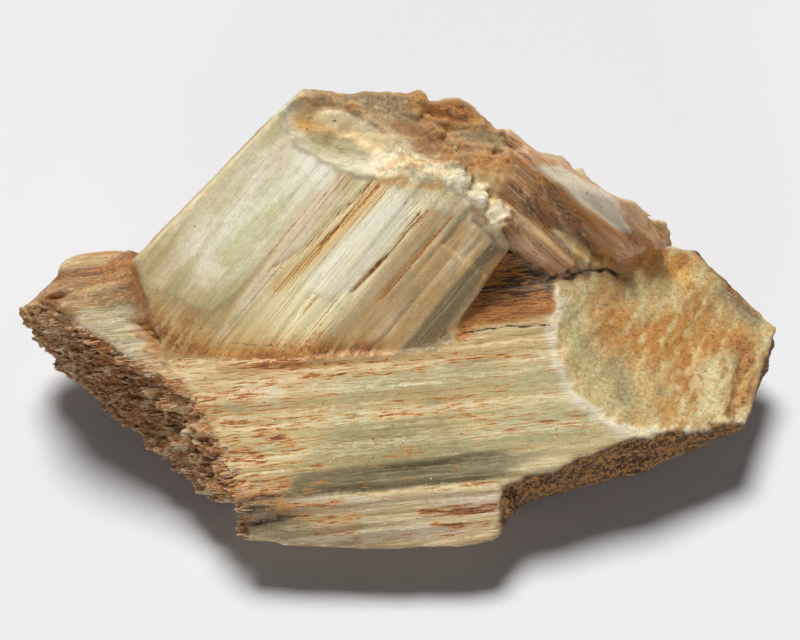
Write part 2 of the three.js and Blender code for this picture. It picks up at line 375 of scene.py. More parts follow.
class FaceMap:
    """Says which face each place of the specimen belongs to."""

    def __init__(self, mesh: bpy.types.Mesh) -> None:
        """Read the model's triangles and name the face of each.

        Args:
            mesh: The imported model's mesh, in metres.
        """
        mesh.calc_loop_triangles()
        points = read(mesh.vertices, "co", 3) / METRE
        triangles = read(mesh.loop_triangles, "vertices", 3, int)
        corners = points[triangles]
        normals = np.cross(corners[:, 1] - corners[:, 0], corners[:, 2] - corners[:, 0])
        normals /= np.maximum(np.linalg.norm(normals, axis=1, keepdims=True), 1e-12)
        self.tree = BVHTree.FromPolygons(points.tolist(), triangles.tolist())
        self.of_triangle = self.name_triangles(corners.mean(axis=1), normals)

    @staticmethod
    def name_triangles(centres: Array, normals: Array) -> Array:
        """Name the face of each triangle by where it is and where it looks.

        Args:
            centres: Middles of the triangles.
            normals: Their outward directions.

        Returns:
            The index in FACES of each triangle.
        """
        base_s, base_w, base_n = BASE_AXES.local(centres).T
        upper_s, upper_w, upper_n = UPPER_AXES.local(centres).T
        end = END_AXES.local(centres)
        top = TOP_AXES.local(centres)
        to_base = normals @ BASE_AXES.basis.T
        to_upper = normals @ UPPER_AXES.basis.T
        to_end = normals @ END_AXES.basis[2]
        to_top = normals @ TOP_AXES.basis[2]
        x, y, z = centres.T
        bowl = np.linalg.norm(centres - np.array([-4.5, 6, 25.7]), axis=1)
        arm = (normals[:, 2] > 0.25) & (base_s < -13.2) & (base_n < 0.9)
        arm &= (upper_n < -0.2) & (y < 6)
        tip = (x < -19) & (normals[:, 2] > 0.3) & (base_w > 10)
        flank = (upper_n < 0) & (upper_n > -8.6) & (base_n > 0)
        flank &= (np.abs(upper_w + 9.75) < 1.75) & (to_upper[:, 1] < -0.3) & (upper_s < 19)
        left = (upper_n < 0) & (upper_w > 9.5) & (to_upper[:, 1] > 0.3) & (base_n > -2)
        level = (np.abs(base_n) < 0.03) & (to_base[:, 2] > 0.99)
        bevel = (upper_w < -8) & (np.abs(upper_n + 0.3) < 0.32) & (to_upper[:, 2] > 0.9)
        front = (to_base[:, 2] > 0.7) & (np.abs(base_s + 2.3) < 10.3) & (base_w < 1.3)
        shoulder = (x < -14) & (base_n > 0.2) & (base_n < 3) & (to_base[:, 0] < -0.25) & (y < 3)
        torn = (x < -9.5) & (base_w < 21) & (to_base[:, 0] < -0.25) & (y < 9)
        torn &= (base_n < 0.2) | (base_s < -20.5)
        rules = (
            (Face.UNDERSIDE, (normals[:, 2] < -0.9) & (z < 0.05)),
            (Face.BROAD, level & (base_s > -17.5)),
            (Face.ARM, arm | tip),
            (Face.LEDGE, front),
            (Face.END, (to_end > 0.93) & (np.abs(end[:, 2]) < 1.2) & (x > 12)),
            (Face.UPPER, (np.abs(upper_n) < 0.03) & (to_upper[:, 2] > 0.99)),
            (Face.BEVEL, bevel),
            (Face.TOP, (np.abs(top[:, 2]) < 0.05) & (to_top > 0.99)),
            (Face.TOP, (bowl < 5.6) & (to_top > 0.5) & (top[:, 2] < 0.05)),
            (Face.SIDE, flank | left),
            (Face.ARM, shoulder),
            (Face.TORN, torn),
            (Face.WALL, (y < 1) & (normals[:, 1] < 0.3) & (normals[:, 2] < 0.55)),
            (Face.NOTCH, (x > 22) & (normals[:, 0] > 0.3) & (z < 13.6)),
            (Face.REAR, (x > 8.2) & (np.abs(y - 5.2) < 4.4) & (z > 12.8) & (normals[:, 1] < 0.45)),
            (Face.ARM, (base_s < -17) & (normals[:, 2] > -0.1) & (base_w > 18)),
            (Face.BACK, normals[:, 1] > 0.25),
        )
        named = np.zeros(len(centres), int)
        for face, here in rules:
            named[(named == 0) & here] = FACES.index(face)
        return named

    def nearest(self, points: Array) -> Array:
        """The face index of the model's surface nearest to each point."""
        find = self.tree.find_nearest
        return np.array([self.of_triangle[find(point)[2]] for point in points.tolist()])


def read(items: bpy.types.bpy_prop_collection, name: str, width: int, kind: type = float) -> Array:
    """One property of every item of a mesh, as rows.

    Args:
        items: The vertices, edges or triangles.
        name: The property's name.
        width: How many numbers each item has.
        kind: Their type.

    Returns:
        One row an item.
    """
    values = np.zeros(len(items) * width, kind)
    items.foreach_get(name, values)
    return values.reshape(-1, width)


# ---- the paint


def tint(red: int, green: int, blue: int) -> Colour:
    """A screen colour, 0 to 255 a channel, as a linear colour."""
    shares = (channel / 255 for channel in (red, green, blue))
    return tuple(s / 12.92 if s <= 0.04045 else ((s + 0.055) / 1.055) ** 2.4 for s in shares)


@dataclass(frozen=True)
class Palette:
    """The colours that the stone and its stains are mixed from."""

    cream: Colour = tint(236, 226, 188)
    khaki: Colour = tint(218, 202, 154)
    sage: Colour = tint(208, 204, 164)
    olive: Colour = tint(158, 148, 108)
    grey: Colour = tint(160, 150, 120)
    white: Colour = tint(252, 248, 234)
    sand: Colour = tint(228, 204, 156)
    tan: Colour = tint(204, 168, 116)
    gold: Colour = tint(214, 164, 88)
    orange: Colour = tint(190, 118, 46)
    rust: Colour = tint(150, 84, 34)
    brown: Colour = tint(112, 68, 36)
    umber: Colour = tint(72, 42, 22)
    black: Colour = tint(28, 19, 13)
    rose: Colour = tint(214, 176, 148)
    bone: Colour = tint(216, 209, 178)
    # the colour of the bowl's ridge, paler than its own colour: painted light
    lit_honey: Colour = tint(250, 222, 168)


PALETTE = Palette()


class Amount(Enum):
    """What the finish reads from the skin, besides its body colour."""

    RUST = "rust"  # how much of the surface rust covers
    DARK = "dark"  # how much of it is nearly black
    COARSE = "coarse"  # rust in grains instead of dashes
    LONG = "long"  # rust in long lines instead of dashes
    DULL = "dull"  # earthy instead of glossy
    ICE = "ice"  # clear stone, mottled instead of streaked


def store(mesh: bpy.types.Mesh, body: Array, grain: Array, amounts: dict[Amount, Array]) -> None:
    """Store on a mesh what the finish reads.

    Args:
        mesh: The mesh.
        body: The body colour of each vertex.
        grain: The place of each vertex along and across the grain.
        amounts: The amounts of each vertex; one that is left out is 0.
    """
    for name, vectors in (("body", body), ("grain", grain)):
        layer = mesh.attributes.new(name, "FLOAT_VECTOR", "POINT")
        layer.data.foreach_set("vector", vectors.astype(np.float32).ravel())
    for amount in Amount:
        layer = mesh.attributes.new(amount.value, "FLOAT", "POINT")
        values = np.clip(amounts.get(amount, np.zeros(len(body))), 0, 1)
        layer.data.foreach_set("value", values.astype(np.float32))


# ---- the skin that is carved


class Skin:
    """A fine mesh of the specimen, with what carving and staining need to know of it."""

    def __init__(self, mesh: bpy.types.Mesh, faces: FaceMap) -> None:
        """Read a mesh whose units are millimetres.

        Args:
            mesh: The fine mesh.
            faces: Where each face of the specimen lies.
        """
        self.mesh = mesh
        self.points = read(mesh.vertices, "co", 3)
        self.normals = read(mesh.vertex_normals, "vector", 3)
        self.edges = read(mesh.edges, "vertices", 2, int)
        self.neighbours = np.maximum(np.bincount(self.edges.ravel(), minlength=len(self.points)), 1)
        self.faces = faces
        self.shares = self.shared(faces.nearest(self.points), 4)
        self.offsets = np.zeros_like(self.points)

    def shared(self, index: Array, rounds: int) -> dict[Face, Array]:
        """How much each vertex belongs to each face, softened over its neighbours."""
        shares = ((index == number).astype(float) for number in range(len(FACES)))
        return {face: self.spread(share, rounds) for face, share in zip(FACES, shares)}

    def fray_borders(self) -> None:
        """Let the faces run into each other along ragged borders, as stains do."""
        wander = [noise(90 + axis, self.points, 0.9, 3, 0.6) for axis in range(3)]
        index = self.faces.nearest(self.points + 0.9 * np.stack(wander, axis=1))
        self.shares = self.shared(index, 5)

    def spread(self, values: Array, rounds: int) -> Array:
        """Values averaged over their neighbours, several times over.

        Args:
            values: One number a vertex.
            rounds: How often they are averaged.

        Returns:
            The softened values.
        """
        first, second = self.edges.T
        count = len(values)
        for _ in range(rounds):
            around = np.bincount(first, values[second], count)
            around += np.bincount(second, values[first], count)
            values = 0.5 * values + 0.5 * around / self.neighbours
        return values

    def standing(self, rounds: int) -> Array:
        """How far each vertex stands out of its surroundings: ridges are above 0."""
        soft = np.stack([self.spread(axis, rounds) for axis in self.points.T], axis=1)
        return ((self.points - soft) * self.normals).sum(axis=1)

    def prime(self) -> None:
        """Paint it as plain stone."""
        count = len(self.points)
        self.body = np.tile(np.array(PALETTE.khaki), (count, 1))
        self.grain = BASE_AXES.local(self.points)
        self.amounts = {amount: np.zeros(count) for amount in Amount}

    def settle(self) -> None:
        """Move the vertices by the offsets so far, and keep the resting face flat."""
        lift = 1 - self.shares[Face.UNDERSIDE]
        moved = self.points + self.offsets * lift[:, None]
        moved[:, 2] = np.maximum(moved[:, 2], np.minimum(self.points[:, 2], 0.02))
        self.points = moved
        self.offsets = np.zeros_like(moved)
        self.mesh.vertices.foreach_set("co", moved.ravel())
        self.mesh.update()
        self.normals = read(self.mesh.vertex_normals, "vector", 3)


class Part:
    """The vertices of a skin that belong to some faces, which are carved and painted together."""

    LEAST = 0.004  # shares below this are left out

    def __init__(self, skin: Skin, *faces: Face) -> None:
        """Pick the vertices.

        Args:
            skin: The skin they are picked from.
            *faces: The faces that they belong to.
        """
        share = sum(skin.shares[face] for face in faces)
        self.skin = skin
        self.index = np.flatnonzero(share > self.LEAST)
        self.share = np.clip(share[self.index], 0, 1)
        self.points = skin.points[self.index]
        self.normals = skin.normals[self.index]

    def flat(self, axes: Axes) -> Array:
        """Its places on a face, as (s, w)."""
        return axes.local(self.points)[:, :2]

    def push(self, heights: Array, direction: Array | None = None) -> None:
        """Move it out by some heights, along a direction or else along its own normals."""
        ways = self.normals if direction is None else direction[None, :]
        self.skin.offsets[self.index] += (self.share * heights)[:, None] * ways

    def cover(self, colour: Colour, weight: Array | float) -> None:
        """Lay a colour over it; the weight is how much that covers, from 0 to 1."""
        share = np.clip(self.share * weight, 0, 1)[:, None]
        self.skin.body[self.index] += share * (np.array(colour) - self.skin.body[self.index])

    def lay(self, **weights: Array | float) -> None:
        """Cover it with colours of the palette, one after the other, each with its weight."""
        for name, weight in weights.items():
            self.cover(getattr(PALETTE, name), weight)

    def tone(self, factor: Colour) -> None:
        """Deepen its colour by a factor on each channel."""
        self.skin.body[self.index] *= 1 + self.share[:, None] * (np.array(factor) - 1)

    def dim(self, weight: Array, loss: Colour) -> None:
        """Take a share off each channel of its colour where a weight is high."""
        self.skin.body[self.index] *= 1 - (weight * self.share)[:, None] * loss

    def add(self, **weights: Array | float) -> None:
        """Add to what the finish reads, each by the name it has in Amount."""
        for name, weight in weights.items():
            self.skin.amounts[Amount(name)][self.index] += self.share * weight

    def clear(self, weight: Array, *amounts: Amount) -> None:
        """Take amounts away where a weight is high."""
        for amount in amounts:
            self.skin.amounts[amount][self.index] *= 1 - weight * self.share

    def follow(self, axes: Axes) -> None:
        """Let its streaks run along other axes than the base crystal's."""
        here = self.share > 0.5
        self.skin.grain[self.index[here]] = axes.local(self.points[here])


@dataclass
class Growth:
    """What all crystals of the specimen share: each carves and paints its faces of one skin."""

    skin: Skin | None = field(default=None, init=False)

    def part(self, *faces: Face) -> Part:
        """The part of the skin on some faces."""
        return Part(self.skin, *faces)


# ---- the base crystal


@dataclass
class BaseCrystal(Growth):
    """The long crystal below: its broad face, ledge, arm, torn left end and broken right end."""

    axes: Axes = BASE_AXES
    end_axes: Axes = END_AXES
    fibre: float = 0.9
    fibre_reach: float = 1.3
    shelves: tuple[Shelf, ...] = (
        Shelf(((-13, 11.3), (2, 11.2), (13.5, 12.2), (13.5, 22), (-13, 22)), 0.2),
        Shelf(((-6, 9.9), (1, 9.8), (10, 10.3), (10, 11.4), (-6, 11.4)), 0.1),
        Shelf(((-8.5, 0.8), (7.6, 0.4), (7.4, 2.3), (2, 2.7), (-7.5, 3)), -0.07),
        Shelf(((3.5, 6.6), (5, 2.8), (14, 2.2), (16, 7.2)), 0.08),
    )
    ledge_steps: tuple[float, ...] = (-0.5, -1.5, -2.5)
    creases: tuple[Stroke, ...] = (
        Stroke(LONG_CREASE, 0.16, 0.3), Stroke(((-9.7, 11.1), (0.3, 10.8)), 0.12, 0.12),
        Stroke(((-5.5, 10), (0.8, 9.7)), 0.12, 0.14),
        Stroke(((-18.6, 19.5), (-18.3, 17.5), (-17.6, 15.4)), 0.3, 0.25),
        Stroke(((11.6, 16.1), (14, 16.2)), 0.15, 0.3),
    )
    end_cracks: tuple[Stroke, ...] = (
        Stroke(((-1.6, 1.8), (1.4, 0), (4.5, -2), (4.8, -2.8)), 0.12, 0.45),
        Stroke(((7.1, -1.1), (8, -2.3), (9, -3.5)), 0.22, 0.8),
        Stroke(((-1.2, -13.8), (-0.6, -14.2), (0, -14.3)), 0.12, 0.3),
        Stroke(((3, -6.5), (4.2, -9), (4, -12)), 0.1, 0.2), Stroke(NOTCH_CRACK, 0.6, 0.45),
    )
    joint: Line = (
        (-16.9, 14.9), (-14.3, 13.1), (-9.7, 12.3), (-4.3, 12), (1.2, 11.8), (4.4, 11.9), (6.5, 12.4),
    )
    end_rim: Line = (
        (-0.7, 0.6), (-0.9, -0.9), (-4.1, -2.2), (-5.5, -3.7), (-6.5, -5.7), (-6.6, -8.2),
        (-6.1, -10.2), (-4.9, -12.6), (-1.5, -15.6), (2.3, -18.5),
    )
    frayed_area: Line = (
        (-25.8, 21), (-24.6, 19), (-23.7, 17.9), (-23.6, 14.3), (-21.7, 12.7), (-18.4, 10.6), (-15.5, 8.7),
        (-13.6, 7.2), (-13.8, 5), (-11.9, 3.2), (-12, 0.9), (-10.9, -0.8), (-11.7, -2.4),
        (-40, -2.4), (-40, 21),
    )

    streaks: tuple = (
        (LONG_CREASE, 0.4, 0.5), (((-9.7, 11.1), (0.3, 10.8)), 0.14, 0.4),
        (((-6.5, 10.1), (0.8, 9.8)), 0.16, 0.5), (((-12.5, 11.7), (-7, 11.2)), 0.4, 0.4),
        (((4.5, 10.5), (9.8, 10.3)), 0.15, 0.5), (((8.4, 7.8), (9.7, 7.9)), 0.14, 0.6),
        (((-0.9, 6.5), (2.2, 6.4)), 0.16, 0.6), (((4.4, 6.9), (5.4, 6.8)), 0.14, 0.6),
        (((3, 6.4), (3.9, 6.2)), 0.14, 0.6), (((5.9, 5.9), (7.1, 5.5)), 0.18, 0.6),
        (((-10.2, 6.2), (-7.8, 4.9)), 0.7, 0.45), (((-12.3, 4.6), (-10.4, 3.8)), 0.7, 0.55),
        (((-1, 3.3), (2.6, 3.3)), 0.14, 0.6), (((4.3, 2), (6, 2)), 0.12, 0.4),
        (((-7, 0.6), (7.6, 0.5)), 0.18, 0.35), (((11.5, 5), (14.5, 4.3), (17.6, 3.7)), 0.3, 0.25),
    )

    def break_up(self) -> None:
        """Carve the large breaks."""
        out = self.axes.basis[2]
        broad = self.part(Face.BROAD, Face.ARM)
        place = broad.flat(self.axes)
        height = sum(shelf.rise(place) for shelf in self.shelves)
        height -= sum(crease.at(place) for crease in self.creases)
        broad.push(height, out)
        self.step_ledge()
        self.roughen_walls()
        self.bend_end()
        self.tear()

    def step_ledge(self) -> None:
        """Break the front ledge down in thin lamellae."""
        part = self.part(Face.LEDGE, Face.WALL)
        place = part.flat(self.axes)
        wander = 0.5 * noise(3, place, (0.12, 0.5), 3)
        height = np.zeros(len(place))
        for level in self.ledge_steps:
            height -= 0.13 * ramp(place[:, 1] + wander, level + 0.07, level - 0.07)
        height *= ramp(place[:, 0], 8.5, 7.5)
        part.push(height, self.axes.basis[2])

    def roughen_walls(self) -> None:
        """Hollow out the walls below the front and the notch at the right tip."""
        wall = self.part(Face.WALL)
        place = self.axes.local(wall.points)
        deep = ramp(place[:, 0], 7.4, 8.6)
        wall.push((0.12 + 0.4 * deep) * noise(4, place, (0.22, 0.8, 0.8), 4, 0.6) - 0.1 * deep)
        notch = self.part(Face.NOTCH)
        lumps = noise(14, notch.points, 0.6, 3, 0.6)
        pits = ramp(noise(15, notch.points, 0.8, 2), 0.1, 0.5)
        notch.push(0.5 * lumps - 0.8 * pits)

    def bend_end(self) -> None:
        """Give the broken right end its shallow waves, its cracks and its raised rim."""
        part = self.part(Face.END)
        place = part.flat(self.end_axes)
        height = 0.3 * noise(5, place, 0.2, 3, 0.45)
        steps = noise(16, place, (0.16, 0.3), 2)
        height += 0.22 * np.round(steps * 3) / 3
        ragged = place + 0.4 * noise(98, place, 0.9, 3, 0.6)[:, None]
        height -= sum(crack.at(ragged) for crack in self.end_cracks)
        height += Stroke(self.end_rim, 0.5, 0.12).at(place)
        part.push(height, self.end_axes.basis[2])

    def tear(self) -> None:
        """Tear the left end: a bundle of lamellae that broke at different lengths."""
        part = self.part(Face.TORN)
        place = self.axes.local(part.points)
        wander = [Noise(6 + axis).smooth(part.points * 0.7) for axis in range(2)]
        across = place[:, 1:] + 0.35 * np.stack(wander, axis=1)
        _, coarse = Noise(8).cells(across / (self.fibre, 0.6 * self.fibre))
        reach = self.fibre_reach * (coarse - 0.62)
        pits = ramp(noise(10, place, (0.3, 0.9, 1.2), 3), 0.1, 0.4)
        part.push(reach - 1.3 * pits, -self.axes.basis[0])
        near = self.part(Face.BROAD, Face.ARM, Face.LEDGE)
        place = self.axes.local(near.points)
        slits = ramp(noise(12, place, (0.2, 1.2, 1.2), 3), 0.12, 0.3)
        _, tile = Noise(17).cells(place[:, :2] * (0.2, 1.5))
        near.push(-self.frayed(place) * (0.45 * tile + 0.6 * slits), self.axes.basis[2])

    def frayed(self, place: Array) -> Array:
        """How frayed the stone is: 1 at the torn end, 0 where it is sound."""
        ragged = 1.3 * noise(13, place[:, :2], (0.2, 0.9), 4, 0.6)
        return ramp(depth_inside(place[:, :2], self.frayed_area) + ragged, -0.5, 1.3)

    def refine(self) -> None:
        """Carve the fine cleavage steps, striations, splinters and grain."""
        out = self.axes.basis[2]
        broad = self.part(Face.BROAD, Face.ARM)
        place = broad.flat(self.axes)
        height = 0.03 * terraces(noise(21, place, (0.045, 0.55), 3, 0.6), 7)
        height += 0.012 * striae(22, place, 0.7, 6)
        torn = self.frayed(place)
        fibrous = np.clip(ramp(place[:, 0], -16.5, -19) + torn, 0, 1)
        height += 0.07 * fibrous * striae(23, place, 0.5, 7)
        _, tile = Noise(20).cells(place * (0.3, 3.0))
        height -= 0.28 * tile * torn
        nicks = ramp(noise(26, place, (0.35, 2.6), 2), 0.42, 0.6)
        broad.push(height - 0.05 * nicks, out)
        ledge = self.part(Face.LEDGE)
        place = ledge.flat(self.axes)
        height = 0.06 * terraces(noise(24, place, (0.08, 0.9), 3, 0.6), 5)
        ledge.push(height + 0.03 * striae(25, place, 0.5, 5), out)
        self.splinter()
        end = self.part(Face.END)
        place = end.flat(self.end_axes)
        height = 0.1 * noise(27, place, (1.1, 0.7), 4, 0.65)
        end.push(height + 0.03 * striae(28, place[:, ::-1], 0.8, 4), self.end_axes.basis[2])

    def splinter(self) -> None:
        """Break the torn end and the rough walls into splinters and crumbs."""
        torn = self.part(Face.TORN)
        place = self.axes.local(torn.points)
        _, fine = Noise(9).cells(place[:, 1:] / (0.5 * self.fibre, 0.36 * self.fibre))
        torn.push(0.7 * (fine - 0.55), -self.axes.basis[0])
        border, lump = Noise(19).cells(place * (1.1, 2.6, 2.6))
        torn.push(0.5 * (lump - 0.5) * ramp(border, 0.0, 0.3) - 0.12 * ramp(border, 0.25, 0.0))
        wall = self.part(Face.WALL, Face.NOTCH)
        place = self.axes.local(wall.points)
        wall.push(0.2 * noise(30, place, (0.8, 1.8, 1.8), 3, 0.65))

    def stain(self) -> None:
        """Colour the base crystal."""
        self.stain_broad_face()
        self.stain_ledge()
        self.stain_band()
        self.stain_arm()
        self.stain_end()
        self.stain_breaks()

    def stain_broad_face(self) -> None:
        """Khaki stone with grey-green patches, golden stains, rust in short dashes and painted shade under
        the upper crystal.
        """
        part = self.part(Face.BROAD)
        place = part.flat(self.axes)
        s, w = place.T
        drift = noise(51, place, (0.1, 0.35), 4)
        patch = noise(59, place, (0.3, 0.45), 4, 0.6)
        golden = brushed(
            place,
            (((-8.2, 10), (-6.4, 9.3), (-5.6, 8.7)), 0.7, 0.7), (((-9.5, 7.7), (-7.2, 7.3)), 0.5, 0.5),
            (((-14, 11.5), (-9, 11), (-2, 11), (3, 10.7)), 0.5, 0.6),
            (((13.4, 10.5), (13.9, 8.6)), 0.5, 0.6), (((15.5, 4.4), (18, 3.4)), 0.5, 0.5),
        )
        smooth = brushed(
            place,
            (((-3.4, 5), (1.2, 4.8)), 0.9, 0.8), (((3, 7.5), (5, 6.5)), 0.9, 0.7),
            (((4.2, 5.8), (5.2, 3.4)), 0.7, 0.5), (((5, 9.8), (8, 10)), 0.6, 0.6),
            (((-12.4, 8.4), (-10.9, 7.5)), 0.6, 0.6), (((-3, 9), (1, 8.6)), 0.9, 0.35),
        )
        smooth = np.clip(smooth * (0.9 + patch), 0, 1)
        facet = (-7, 3.2), (-5.5, 5.8), (-1.5, 5.2), (0.5, 6.3), (3.8, 6.3), (5.2, 2.9), (1, 2.7)
        clear = ramp(depth_inside(place, facet) + 0.25 * patch, -0.1, 0.25)
        part.lay(
            sand=ramp(w + 2 * drift, 5, 11) * 0.8, cream=ramp(drift, -0.1, 0.3) * 0.7,
            sage=0.75 * ramp(patch, 0.0, 0.22) * ramp(w, 11, 9),
            white=0.5 * Stroke(((-11.5, 9.3), (-9, 9)), 0.9).at(place),
            gold=0.6 * golden * ramp(patch, -0.4, 0.1), olive=0.65 * smooth,
        )
        part.lay(olive=0.4 * clear)
        smooth = np.clip(smooth + 0.5 * clear, 0, 1)
        # the strip under the upper crystal, for its stains and its painted shade
        hollow = self.stained_and_shaded_strip(place)
        joint = Stroke(self.joint, 0.45).at(place + (0, 0.3) * patch[:, None])
        torn = self.frayed(place)
        rust = 0.22 + 0.25 * noise(53, place, (0.16, 0.45), 3)
        rust += 0.14 * ramp(s, -3, -10) - 0.25 * smooth + 0.45 * hollow
        rust += 0.1 * ramp(np.abs(w - 8), 4, 1) - 0.12 * ramp(s, 7, 12)
        rust += 0.35 * torn + brushed(place, *self.streaks) + 0.5 * joint
        rim = (14.5, 14.5), (13.2, 11.6), (13.3, 9.6), (14, 7.5), (15.6, 5.5), (17.1, 4.3), (19.1, 3)
        pale = ramp(distance_to_line(place, rim) + 0.9 * patch, 0.9, 0.2) * (1 - 0.8 * hollow)
        # under the upper crystal: orange and rust stains, with painted shade in brown and umber deepest in
        part.lay(
            sage=Stroke(((9, 5), (12, 5.2), (16, 5)), 1.4, 0.8).at(place), orange=0.95 * hollow,
            rust=0.75 * hollow * ramp(patch, -0.2, 0.1),
            brown=0.9 * ramp(w - 0.1 * s + 0.5 * drift, 13.2, 15.2) * ramp(s, 4, 6),
            umber=0.9 * ramp(w - 0.1 * s + 0.4 * drift, 13.2, 15) * ramp(s, 4, 6),
            gold=0.6 * Stroke(((6.5, 12.6), (10, 13), (13.3, 12.9)), 0.35).at(place),
        )
        part.lay(
            orange=0.85 * joint, tan=0.8 * torn, rust=0.75 * ramp(torn + 0.8 * patch, 0.55, 1.0),
            white=0.8 * pale,
        )
        part.tone((0.7, 0.66, 0.575))
        # painted shade: the strip under the upper crystal is dimmed
        part.dim(hollow, (0.2, 0.38, 0.5))
        part.add(
            rust=np.clip(rust - 0.15 * pale, 0, 1),
            dark=0.75 * Stroke(((5.5, 12.4), (9, 12.75), (13.6, 12.5)), 0.1).at(place),
            ice=0.65 + 0.3 * smooth, dull=0.8 * hollow + 0.5 * torn, coarse=0.5 * torn,
        )

    @staticmethod
    def stained_and_shaded_strip(place: Array) -> Array:
        """The strip of the broad face under the upper crystal's right side, which gets stains and painted
        shade.
        """
        s, w = place.T
        return ramp(w - 0.09 * s, 11.9, 12.5) * ramp(s, 3.2, 5) * ramp(s + 0.8 * (w - 12), 16.8, 15.2)

    def stain_ledge(self) -> None:
        """Cream stone, rusty in its middle and on its right, sooty at its left."""
        part = self.part(Face.LEDGE)
        place = part.flat(self.axes)
        s, w = place.T
        below = ramp(w, 0.9, 0.4)
        flecks = noise(54, place, (0.15, 0.8), 3)
        blocks = noise(60, place, (0.5, 1.3), 3, 0.6)
        left = ramp(s + 2 * blocks, -6.5, -9.5) * below
        part.lay(
            cream=0.75 * below, white=0.7 * below * ramp(flecks, -0.1, 0.2), grey=0.7 * left,
            umber=0.75 * left * ramp(blocks, 0.0, 0.2) * ramp(w, -1.6, -0.9),
            sage=0.8 * left * ramp(w, -1.2, -1.6),
        )
        rust = 0.24 + 0.3 * noise(55, place, (0.16, 0.7), 3) * (1 - left)
        rust += brushed(
            place,
            (((1.6, -1.1), (4.5, -1.5), (7.2, -1.4)), 0.3, 0.75),
            (((2.5, -2.2), (4.5, -2.6), (6.7, -2.6)), 0.3, 0.7), (((3.5, -3.2), (6, -3.4)), 0.3, 0.4),
            (((-8, -0.6), (-5, -1.2), (-3.5, -1.3)), 0.4, 0.45),
            (((-6.3, -1.9), (-3.5, -2.1)), 0.3, 0.35), (((-9, 0.1), (-5, 0)), 0.25, 0.5),
        )
        part.tone((0.63, 0.55, 0.46))
        part.dim(ramp(s, 2, -3), (0.11, 0.13, 0.18))
        soot = Stroke(((-12.2, -0.4), (-10.2, -0.7), (-7.8, -1.2)), 1.2).at(place)
        soot *= 0.6 * ramp(noise(94, place, (1.6, 3.6), 3, 0.7) + 0.4 * blocks, 0.05, 0.25)
        part.add(rust=np.clip(rust, 0, 1), dark=soot, coarse=0.5 * left)
        low = self.part(Face.WALL, Face.UNDERSIDE)
        place = self.axes.local(low.points)
        lip = ramp(place[:, 0], 7.9, 7.4) * ramp(place[:, 0], -12, -10)
        clouds = noise(97, place, (0.25, 0.9, 0.9), 4, 0.65)
        low.lay(
            sand=0.85 * lip, tan=0.7 * lip * ramp(clouds, -0.05, 0.2),
            rust=0.6 * lip * ramp(clouds, 0.2, 0.4) * ramp(low.points[:, 2], 4.5, 3),
        )
        low.tone((0.62, 0.56, 0.5))

    def stain_band(self) -> None:
        """A dark olive band low on the broad face, with a brown line along its lower edge."""
        part = self.part(Face.BROAD, Face.LEDGE)
        place = part.flat(self.axes)
        s, w = place.T
        patch = noise(52, place, (0.35, 0.9), 4, 0.6)
        band = ramp(w - 0.03 * s + 0.3 * patch, 2.95, 2.6) * ramp(w + 0.1 * patch, 0.55, 0.8)
        band *= ramp(s + 2 * patch, -9.5, -7.5) * ramp(s + 3 * patch, 11, 7)
        shade = np.array(PALETTE.olive) * (0.25, 0.23, 0.15)
        part.cover(shade, band * (0.85 + 0.4 * patch))
        grimy = ramp(s + 1.5 * patch, -7.8, -9) * ramp(w + patch, 2.6, 1.8) * ramp(w, -0.8, 0)
        part.lay(
            umber=0.35 * band * Stroke(((-7, 1), (6, 1.1)), 0.3).at(place),
            brown=grimy * (0.55 + 0.5 * patch),
        )
        part.add(
            dark=0.5 * grimy * ramp(patch, 0.1, 0.3), rust=0.2 * grimy - 0.15 * band, ice=0.5 * band,
            dull=0.9 * band,
        )

    def stain_arm(self) -> None:
        """Pale green stripes in the middle, an ochre lobe on top and rusty fibres below."""
        part = self.part(Face.ARM)
        place = part.flat(self.axes)
        s, w = place.T
        ragged = noise(56, place, (0.25, 0.8), 4, 0.6)
        fine = noise(83, place, (0.3, 3.2), 3, 0.6)
        patch = ((-23.6, 13.2), (-19, 12.6), (-17.9, 16), (-18.4, 17.8), (-23.8, 17.6))
        green = ramp(depth_inside(place, patch) + 0.8 * ragged, -0.3, 0.5)
        lobe = ramp(w + 0.3 * ragged, 20.3, 20.7)
        line = Stroke(((-25.6, 20.2), (-23.2, 20.2), (-20, 20)), 0.2, 1.0).at(place)
        crease = Stroke(ARM_CREASE, 1.0).at(place)
        left = ramp(s + 0.8 * ragged, -24.6, -25.4) * ramp(w, 19.4, 18.6)
        brown = np.clip(line + 0.9 * crease + 0.6 * left, 0, 1)
        granular = noise(87, part.points, 2.0, 3, 0.7)
        low = ramp(w + 0.8 * ragged, 12.8, 11.2)
        part.lay(
            tan=1.0, rust=0.6 * ramp(ragged + 0.5 * fine, -0.1, 0.3), sage=0.95 * green,
            white=0.75 * green * ramp(fine + 0.6 * ragged, -0.1, 0.25),
        )
        part.lay(
            white=Stroke(((-22.6, 12.6), (-18.2, 13.2)), 0.35, 0.8).at(place), sand=0.85 * lobe,
            gold=0.8 * lobe * ramp(ragged + 0.5 * fine, -0.35, 0.1),
            orange=Stroke(((-20.6, 20.6), (-19.6, 20.9)), 0.45, 0.8).at(place),
            cream=Stroke(((-24.6, 21),), 0.5, 0.8).at(place),
            rose=Stroke(((-26, 19.7), (-23, 19.5)), 0.3, 0.9).at(place),
        )
        part.lay(
            cream=Stroke(((-22.8, 18.5), (-20.8, 18.4)), 0.4, 0.6).at(place), rust=0.9 * brown,
            orange=0.9 * crease * ramp(granular, 0.1, -0.1), umber=0.5 * line, sand=0.7 * low,
        )
        part.tone((0.64, 0.55, 0.44))
        rust = 0.32 + 0.3 * ragged - 0.3 * green + 0.15 * low - 0.3 * lobe + 0.3 * brown
        part.add(
            rust=np.clip(rust, 0, 1), dark=0.35 * green * ramp(fine, 0.2, 0.45),
            coarse=0.8 * crease + 0.6 * left, dull=0.5 * brown,
        )

